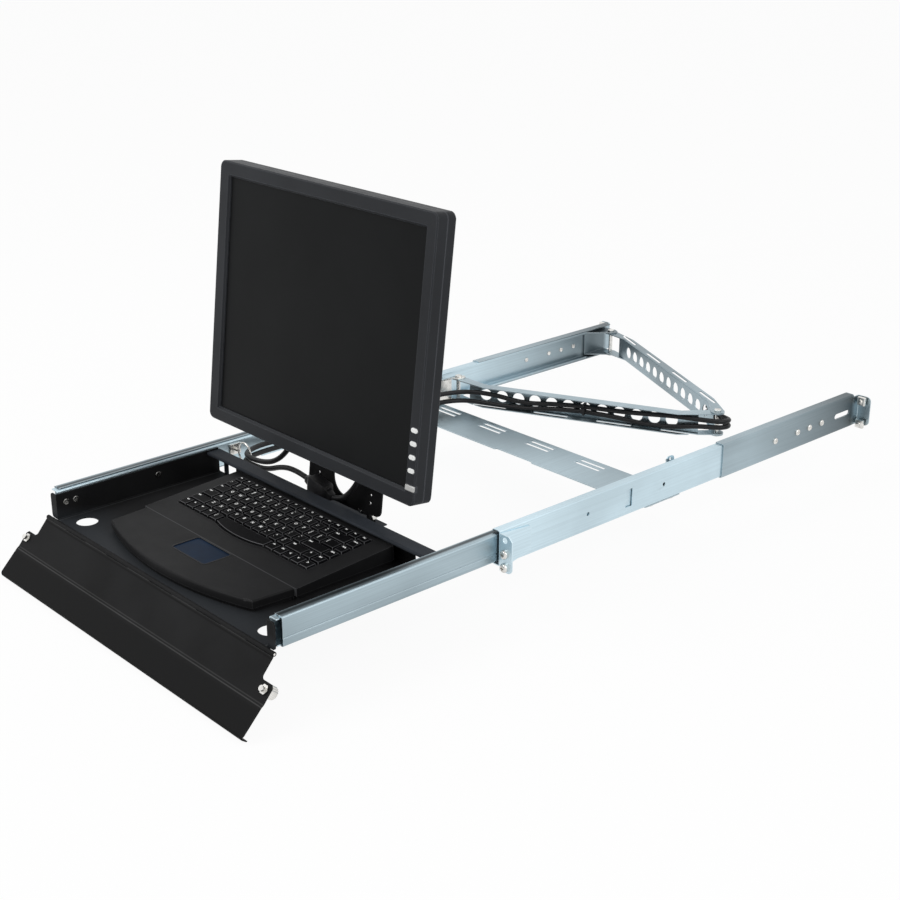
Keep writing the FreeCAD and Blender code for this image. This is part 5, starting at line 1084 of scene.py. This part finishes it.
class TRAY_OT_frame_touchpad(bpy.types.Operator):
    """Lays the thin frame round the touchpad"""

    bl_idname = "tray.frame_touchpad"
    bl_label = "Frame the touchpad"

    def execute(self, context):
        low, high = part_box("touchpad")
        centre = (low + high) / 2
        margin = 2.4 * MM
        rim = begin(bpy.ops.mesh.primitive_plane_add,
                    (high.x - low.x + margin, high.y - low.y + margin, 1),
                    size=1, location=(centre.x, centre.y, KEY_ORIGIN.z))
        pick_all()
        bpy.ops.mesh.bevel(offset=4.5 * MM, segments=6, affect="VERTICES")
        bpy.ops.mesh.inset(thickness=1.5 * MM)
        bpy.ops.mesh.delete(type="FACE")
        pick_all()
        extrude(z=0.22 * MM)
        face_outward()
        end(rim)
        rim.name = "touchpad_frame"
        hand_over(rim, "keyboard_plastic", "tray")
        return {"FINISHED"}


class TRAY_OT_back_hinge(bpy.types.Operator):
    """Backs the panel's hinge with a strip and a quarter round, so that no light comes through its slits"""

    bl_idname = "tray.back_hinge"
    bl_label = "Back the panel hinge"

    def execute(self, context):
        half, top, low = 219 * MM, 2.5 * MM, 8.5 * MM
        sheet, slant, gap = 0.45 * MM, 0.2 * MM, 0.75 * MM
        strip = begin(bpy.ops.mesh.primitive_plane_add, (half * 2, low - top, 1),
                      size=1, location=(0, (top + low) / 2, 0))
        pick_all()
        extrude(z=sheet)
        pick("FACE", lambda face: face.normal.z > 0.9 and face.calc_center_median().z > sheet * 0.9)
        bpy.ops.transform.translate(value=(0, -slant, 0))
        face_outward()
        side = PANEL_DOWN.cross(PANEL_OUT)
        turn = Matrix((side, PANEL_DOWN, PANEL_OUT)).transposed().to_4x4()
        end(strip, Matrix.Translation(HINGE + PANEL_OUT * gap) @ turn)
        strip.name = "hinge_strip"
        hand_over(strip, "black_powder_coat", "front_panel")
        trough = self.trough(half=200 * MM, radius=3.0 * MM, sheet=0.5 * MM)
        hand_over(trough, "black_powder_coat", "tray")
        return {"FINISHED"}

    def trough(self, half, radius, sheet):
        """A quarter round under the knuckles, from the tray's edge to just past their lowest point."""
        trough = begin(bpy.ops.mesh.primitive_cylinder_add, vertices=72, radius=radius, depth=half * 2,
                       end_fill_type="NOTHING", rotation=LYING)
        low, high = math.radians(-95), math.radians(-5)
        pick("FACE", lambda face: not low < math.atan2(face.normal.z, face.normal.y) < high)
        bpy.ops.mesh.delete(type="FACE")
        end(trough)
        wall = trough.modifiers.new("wall", "SOLIDIFY")
        wall.thickness = sheet
        wall.offset = 1
        apply_all(trough)
        settle(trough, Matrix.Translation(HINGE))
        trough.name = "hinge_trough"
        return trough


class TRAY_OT_fit_tilt_tube(bpy.types.Operator):
    """Fits the tube on the monitor's tilt axis between its two lugs, and a bright collar near each end"""

    bl_idname = "tray.fit_tilt_tube"
    bl_label = "Fit the tilt tube"

    COLLARS = (-27, 27)

    def execute(self, context):
        tube = self.turned(radius=3.5 * MM, span=78.8 * MM, rounding=0.6 * MM)
        tube.name = "tilt_tube"
        settle(tube, Matrix.Translation(TILT_AXIS))
        hand_over(tube, "black_powder_coat", "monitor")
        collar = self.turned(radius=4.3 * MM, span=5.5 * MM, rounding=0.9 * MM)
        places = [Matrix.Translation(TILT_AXIS + mm(x, 0, 0)) for x in self.COLLARS]
        set_hardware(collar, "tilt_collars", places, "monitor")
        return {"FINISHED"}

    def turned(self, radius, span, rounding):
        """A turned rod along X, with rounded ends that are sunk a little."""
        rod = begin(bpy.ops.mesh.primitive_cylinder_add,
                    vertices=28, radius=radius, depth=span, rotation=LYING)
        pick("FACE", lambda face: abs(face.normal.x) > 0.9)
        round_off(rounding, 3)
        for side in (-1, 1):
            pick_toward(RIGHT * side, 0.99)
            bpy.ops.mesh.inset(thickness=rounding)
            extrude(-side * rounding)
        return end(rod)


class TRAY_OT_drive_rack_screws(bpy.types.Operator):
    """Drives two pan-head screws into each front bracket"""

    bl_idname = "tray.drive_rack_screws"
    bl_label = "Drive the rack screws"

    def execute(self, context):
        head = context.scene.tray_sizes.rack_head
        screw = model_screw(head, height=4.2 * MM, shank=2.9 * MM, reach=9 * MM, recess=2.2 * MM)
        places = [facing((0, -1, 0), mm(x, BRACKET_FACE, z)) for x in HOLE_COLUMNS for z in (0, -HOLE_PITCH)]
        set_hardware(screw, "rack_screws", places, "rack_rails")
        return {"FINISHED"}


class TRAY_OT_fit_rear_bolts(bpy.types.Operator):
    """Fits two bolts with square nuts to each rear flange"""

    bl_idname = "tray.fit_rear_bolts"
    bl_label = "Fit the rear bolts"

    def execute(self, context):
        side = context.scene.tray_sizes.square_nut
        nut = model_square_nut(side, height=5 * MM, bore=2.9 * MM, below=4 * MM)
        heights = (-HOLE_PITCH, HOLE_PITCH)
        places = [facing((0, -1, 0), mm(x, REAR_FLANGE, z)) for x in HOLE_COLUMNS for z in heights]
        set_hardware(nut, "rear_bolts", places, "rack_rails")
        return {"FINISHED"}


class TRAY_OT_set_rivets(bpy.types.Operator):
    """Sets domed rivets where the rear extensions and the cross brace meet the rails"""

    bl_idname = "tray.set_rivets"
    bl_label = "Set the rail rivets"

    ROW = (482.0, 529.0, 554.5, 581.0)
    OUTSIDE = 224.5
    INSIDE = 221.5
    HEIGHT = 2.5
    BRACE_ROW = (252.0, 288.0)
    BRACE_X = 217.0
    BRACE_Z = -19.75

    def execute(self, context):
        radius = context.scene.tray_sizes.rivet
        heads, tails = [], []
        for side in (-1, 1):
            for y in self.ROW:
                heads.append(facing((side, 0, 0), mm(side * self.OUTSIDE, y, self.HEIGHT)))
                tails.append(facing((-side, 0, 0), mm(side * self.INSIDE, y, self.HEIGHT)))
            for y in self.BRACE_ROW:
                heads.append(facing((0, 0, -1), mm(side * self.BRACE_X, y, self.BRACE_Z)))
        set_hardware(model_rivet(radius, 2.2 * MM), "rail_rivets", heads, "rack_rails", ("rail_bolts",))
        set_hardware(model_rivet(radius * 0.8, 0.9 * MM), "rail_rivet_tails", tails, "rack_rails")
        return {"FINISHED"}


class TRAY_OT_bend_ring(bpy.types.Operator):
    """Bends the wire ring that gathers the leads, on its foot on the tray's wall"""

    bl_idname = "tray.bend_ring"
    bl_label = "Bend the lead ring"

    def execute(self, context):
        wire = context.scene.tray_sizes.ring_wire / 2
        low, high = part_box("cable_ring")
        centre = mm(-184, -45, 6)
        reach = high.z - centre.z - wire
        start = centre + RIGHT * reach
        ring = begin(bpy.ops.mesh.primitive_circle_add,
                     vertices=14, radius=wire, location=start, rotation=(math.pi / 2, 0, 0))
        pick_all()
        bpy.ops.transform.rotate(value=-math.pi / 2, orient_axis="X", center_override=start)
        bpy.ops.mesh.spin(steps=48, angle=2 * math.pi, center=centre, axis=(0, 1, 0))
        merge(0.01 * MM)
        face_outward()
        end(ring)
        foot = self.foot(low.x, wire, centre, reach)
        piece = join("lead_ring", [ring, foot])
        hand_over(piece, "nickel_plate", "tray", nodes=("cable_ring",))
        return {"FINISHED"}

    def foot(self, wall, wire, centre, reach):
        """A small plate on the wall, with a stem that holds the ring."""
        foot = begin(bpy.ops.mesh.primitive_cube_add, (wire * 2, 16 * MM, 14 * MM),
                     size=1, location=(wall + wire, centre.y, centre.z))
        pick_toward(RIGHT)
        round_off(wire * 0.5, 3)
        pick_toward(RIGHT, 0.99)
        bpy.ops.mesh.inset(thickness=5.2 * MM)
        extrude(centre.x - reach - wall - wire * 2)
        return end(foot)


class TRAY_OT_drive_wall_screws(bpy.types.Operator):
    """Drives the screws that hold the tray's walls to the inner rails"""

    bl_idname = "tray.drive_wall_screws"
    bl_label = "Drive the wall screws"

    ROW = (-280.0, -267.5, -157.0)
    WALL = 204.0
    HEIGHT = 2.5

    def execute(self, context):
        head = context.scene.tray_sizes.wall_screw
        screw = model_screw(head, height=1.3 * MM, shank=1.6 * MM, reach=1.0 * MM, recess=0.9 * MM)
        places = []
        for side in (-1, 1):
            for y in self.ROW:
                places.append(facing((-side, 0, 0), mm(side * self.WALL, y, self.HEIGHT)))
        set_hardware(screw, "tray_wall_screws", places, "tray", ("wall_screws",), "dull_steel")
        return {"FINISHED"}


class TRAY_OT_drive_bracket_screws(bpy.types.Operator):
    """Drives the four screws that hold the bracket to the monitor's back"""

    bl_idname = "tray.drive_bracket_screws"
    bl_label = "Drive the bracket screws"

    BEHIND = 64.5
    ACROSS = (-50, 50)
    UP_FACE = (103, 203)

    def execute(self, context):
        head = context.scene.tray_sizes.back_screw
        screw = model_screw(head, height=2.4 * MM, shank=1.9 * MM, reach=1.8 * MM, recess=1.4 * MM)
        out = (0, math.cos(LEAN), -math.sin(LEAN))
        places = [facing(out, monitor_point(x, self.BEHIND, u)) for x in self.ACROSS for u in self.UP_FACE]
        set_hardware(screw, "monitor_bracket_screws", places, "monitor", ("bracket_screws",))
        return {"FINISHED"}


class TRAY_OT_set_stage(bpy.types.Operator):
    """Sets the floor, the light and the camera"""

    bl_idname = "tray.set_stage"
    bl_label = "Set the stage"

    KEY_PLACE = (-0.9, -1.7, 2.1)
    FILL_PLACE = (1.9, 0.2, 1.5)
    CAMERA_PLACE = (1.3024, -1.0509, 0.7065)
    CAMERA_ANGLES = (47.796, 21.400, 0.033)

    def execute(self, context):
        settings = context.scene.tray_stage
        context.scene.view_settings.view_transform = "Standard"
        self.floor()
        self.sky(context.scene, settings.sky)
        self.lamp("key_lamp", settings.key, 1.6, self.KEY_PLACE)
        self.lamp("fill_lamp", settings.fill, 1.4, self.FILL_PLACE)
        self.camera(context.scene, settings.lens)
        return {"FINISHED"}

    def floor(self):
        clear_selection()
        bpy.ops.mesh.primitive_plane_add(size=40, location=(0, 0, CAD_BOX[0].z - 0.5 * MM))
        floor = bpy.context.object
        floor.name = "floor"
        bpy.ops.object.mode_set(mode="EDIT")
        bpy.ops.mesh.subdivide(number_cuts=3)
        bpy.ops.object.mode_set(mode="OBJECT")
        paint = Finish("floor_paint", Roughness=0.9, Specular_IOR_Level=0.1, Base_Color=(0.86, 0.86, 0.86, 1))
        plain = Value(paint, paint.shader.outputs[0])
        glow = paint.node("ShaderNodeEmission", {}, {})
        mixed = paint.node("ShaderNodeMixShader", {}, {0: paint.seen() * 0.94, 1: plain, 2: glow})
        paint.feed(paint.tree.nodes["Material Output"].inputs[0], mixed)
        floor.data.materials.append(paint.material)

    def sky(self, scene, strength):
        """White to look at, and dimmer as a light."""
        scene.world = bpy.data.worlds.new("studio")
        scene.world.use_nodes = True
        nodes = Nodes(scene.world.node_tree)
        background = nodes.tree.nodes["Background"].inputs
        nodes.feed(background["Color"], (1, 1, 1, 1))
        nodes.feed(background["Strength"], strength + nodes.seen() * (1 - strength))

    def lamp(self, name, power, size, place):
        light = bpy.data.lights.new(name, "AREA")
        light.energy = power
        light.size = size
        holder = bpy.data.objects.new(name, light)
        bpy.context.scene.collection.objects.link(holder)
        holder.location = place
        aim = Vector((0, 0, 0.05)) - Vector(place)
        holder.rotation_euler = aim.to_track_quat("-Z", "Y").to_euler()

    def camera(self, scene, lens):
        """The photograph's camera, solved from the rack's hole pattern."""
        across, above, roll = (math.radians(angle) for angle in self.CAMERA_ANGLES)
        level = Vector((math.sin(across), -math.cos(across), 0))
        back = level * math.cos(above) + UP * math.sin(above)
        view = bpy.data.cameras.new("photo_camera")
        view.lens = lens
        view.sensor_width = 36
        view.clip_end = 60
        holder = bpy.data.objects.new("photo_camera", view)
        scene.collection.objects.link(holder)
        turn = (-back).to_track_quat("-Z", "Y").to_matrix().to_4x4() @ Matrix.Rotation(roll, 4, "Z")
        holder.matrix_world = Matrix.Translation(self.CAMERA_PLACE) @ turn
        scene.camera = holder


STEPS = (
    TRAY_OT_coat_frame,
    TRAY_OT_fit_coupler,
    TRAY_OT_lay_leads,
    TRAY_OT_widen_space_bar,
    TRAY_OT_print_legends,
    TRAY_OT_frame_touchpad,
    TRAY_OT_back_hinge,
    TRAY_OT_fit_tilt_tube,
    TRAY_OT_drive_rack_screws,
    TRAY_OT_fit_rear_bolts,
    TRAY_OT_set_rivets,
    TRAY_OT_bend_ring,
    TRAY_OT_drive_wall_screws,
    TRAY_OT_drive_bracket_screws,
    TRAY_OT_set_stage,
)


class TRAY_PT_steps(bpy.types.Panel):
    """Lists the steps that dress the tray, with its colours and sizes"""

    bl_idname = "TRAY_PT_steps"
    bl_label = "Rack keyboard tray"
    bl_space_type = "VIEW_3D"
    bl_region_type = "UI"
    bl_category = "Tray"

    def draw(self, context):
        for step in STEPS:
            self.layout.operator(step.bl_idname)
        for group in (context.scene.tray_colours, context.scene.tray_sizes, context.scene.tray_stage):
            column = self.layout.column()
            for name in group.bl_rna.properties.keys():
                if name not in ("rna_type", "name"):
                    column.prop(group, name)


CLASSES = (TrayColours, TraySizes, StageSettings, *STEPS, TRAY_PT_steps)


def register():
    for item in CLASSES:
        bpy.utils.register_class(item)
    bpy.types.Scene.tray_colours = PointerProperty(type=TrayColours)
    bpy.types.Scene.tray_sizes = PointerProperty(type=TraySizes)
    bpy.types.Scene.tray_stage = PointerProperty(type=StageSettings)


def unregister():
    del bpy.types.Scene.tray_stage
    del bpy.types.Scene.tray_sizes
    del bpy.types.Scene.tray_colours
    for item in reversed(CLASSES):
        bpy.utils.unregister_class(item)


def main():
    register()
    clear_selection()
    bpy.ops.tray.coat_frame()
    bpy.ops.tray.fit_coupler()
    bpy.ops.tray.lay_leads()
    bpy.ops.tray.widen_space_bar()
    bpy.ops.tray.print_legends()
    bpy.ops.tray.frame_touchpad()
    bpy.ops.tray.back_hinge()
    bpy.ops.tray.fit_tilt_tube()
    bpy.ops.tray.drive_rack_screws()
    bpy.ops.tray.fit_rear_bolts()
    bpy.ops.tray.set_rivets()
    bpy.ops.tray.bend_ring()
    bpy.ops.tray.drive_wall_screws()
    bpy.ops.tray.drive_bracket_screws()
    bpy.ops.tray.set_stage()


if __name__ == "__main__":
    main()
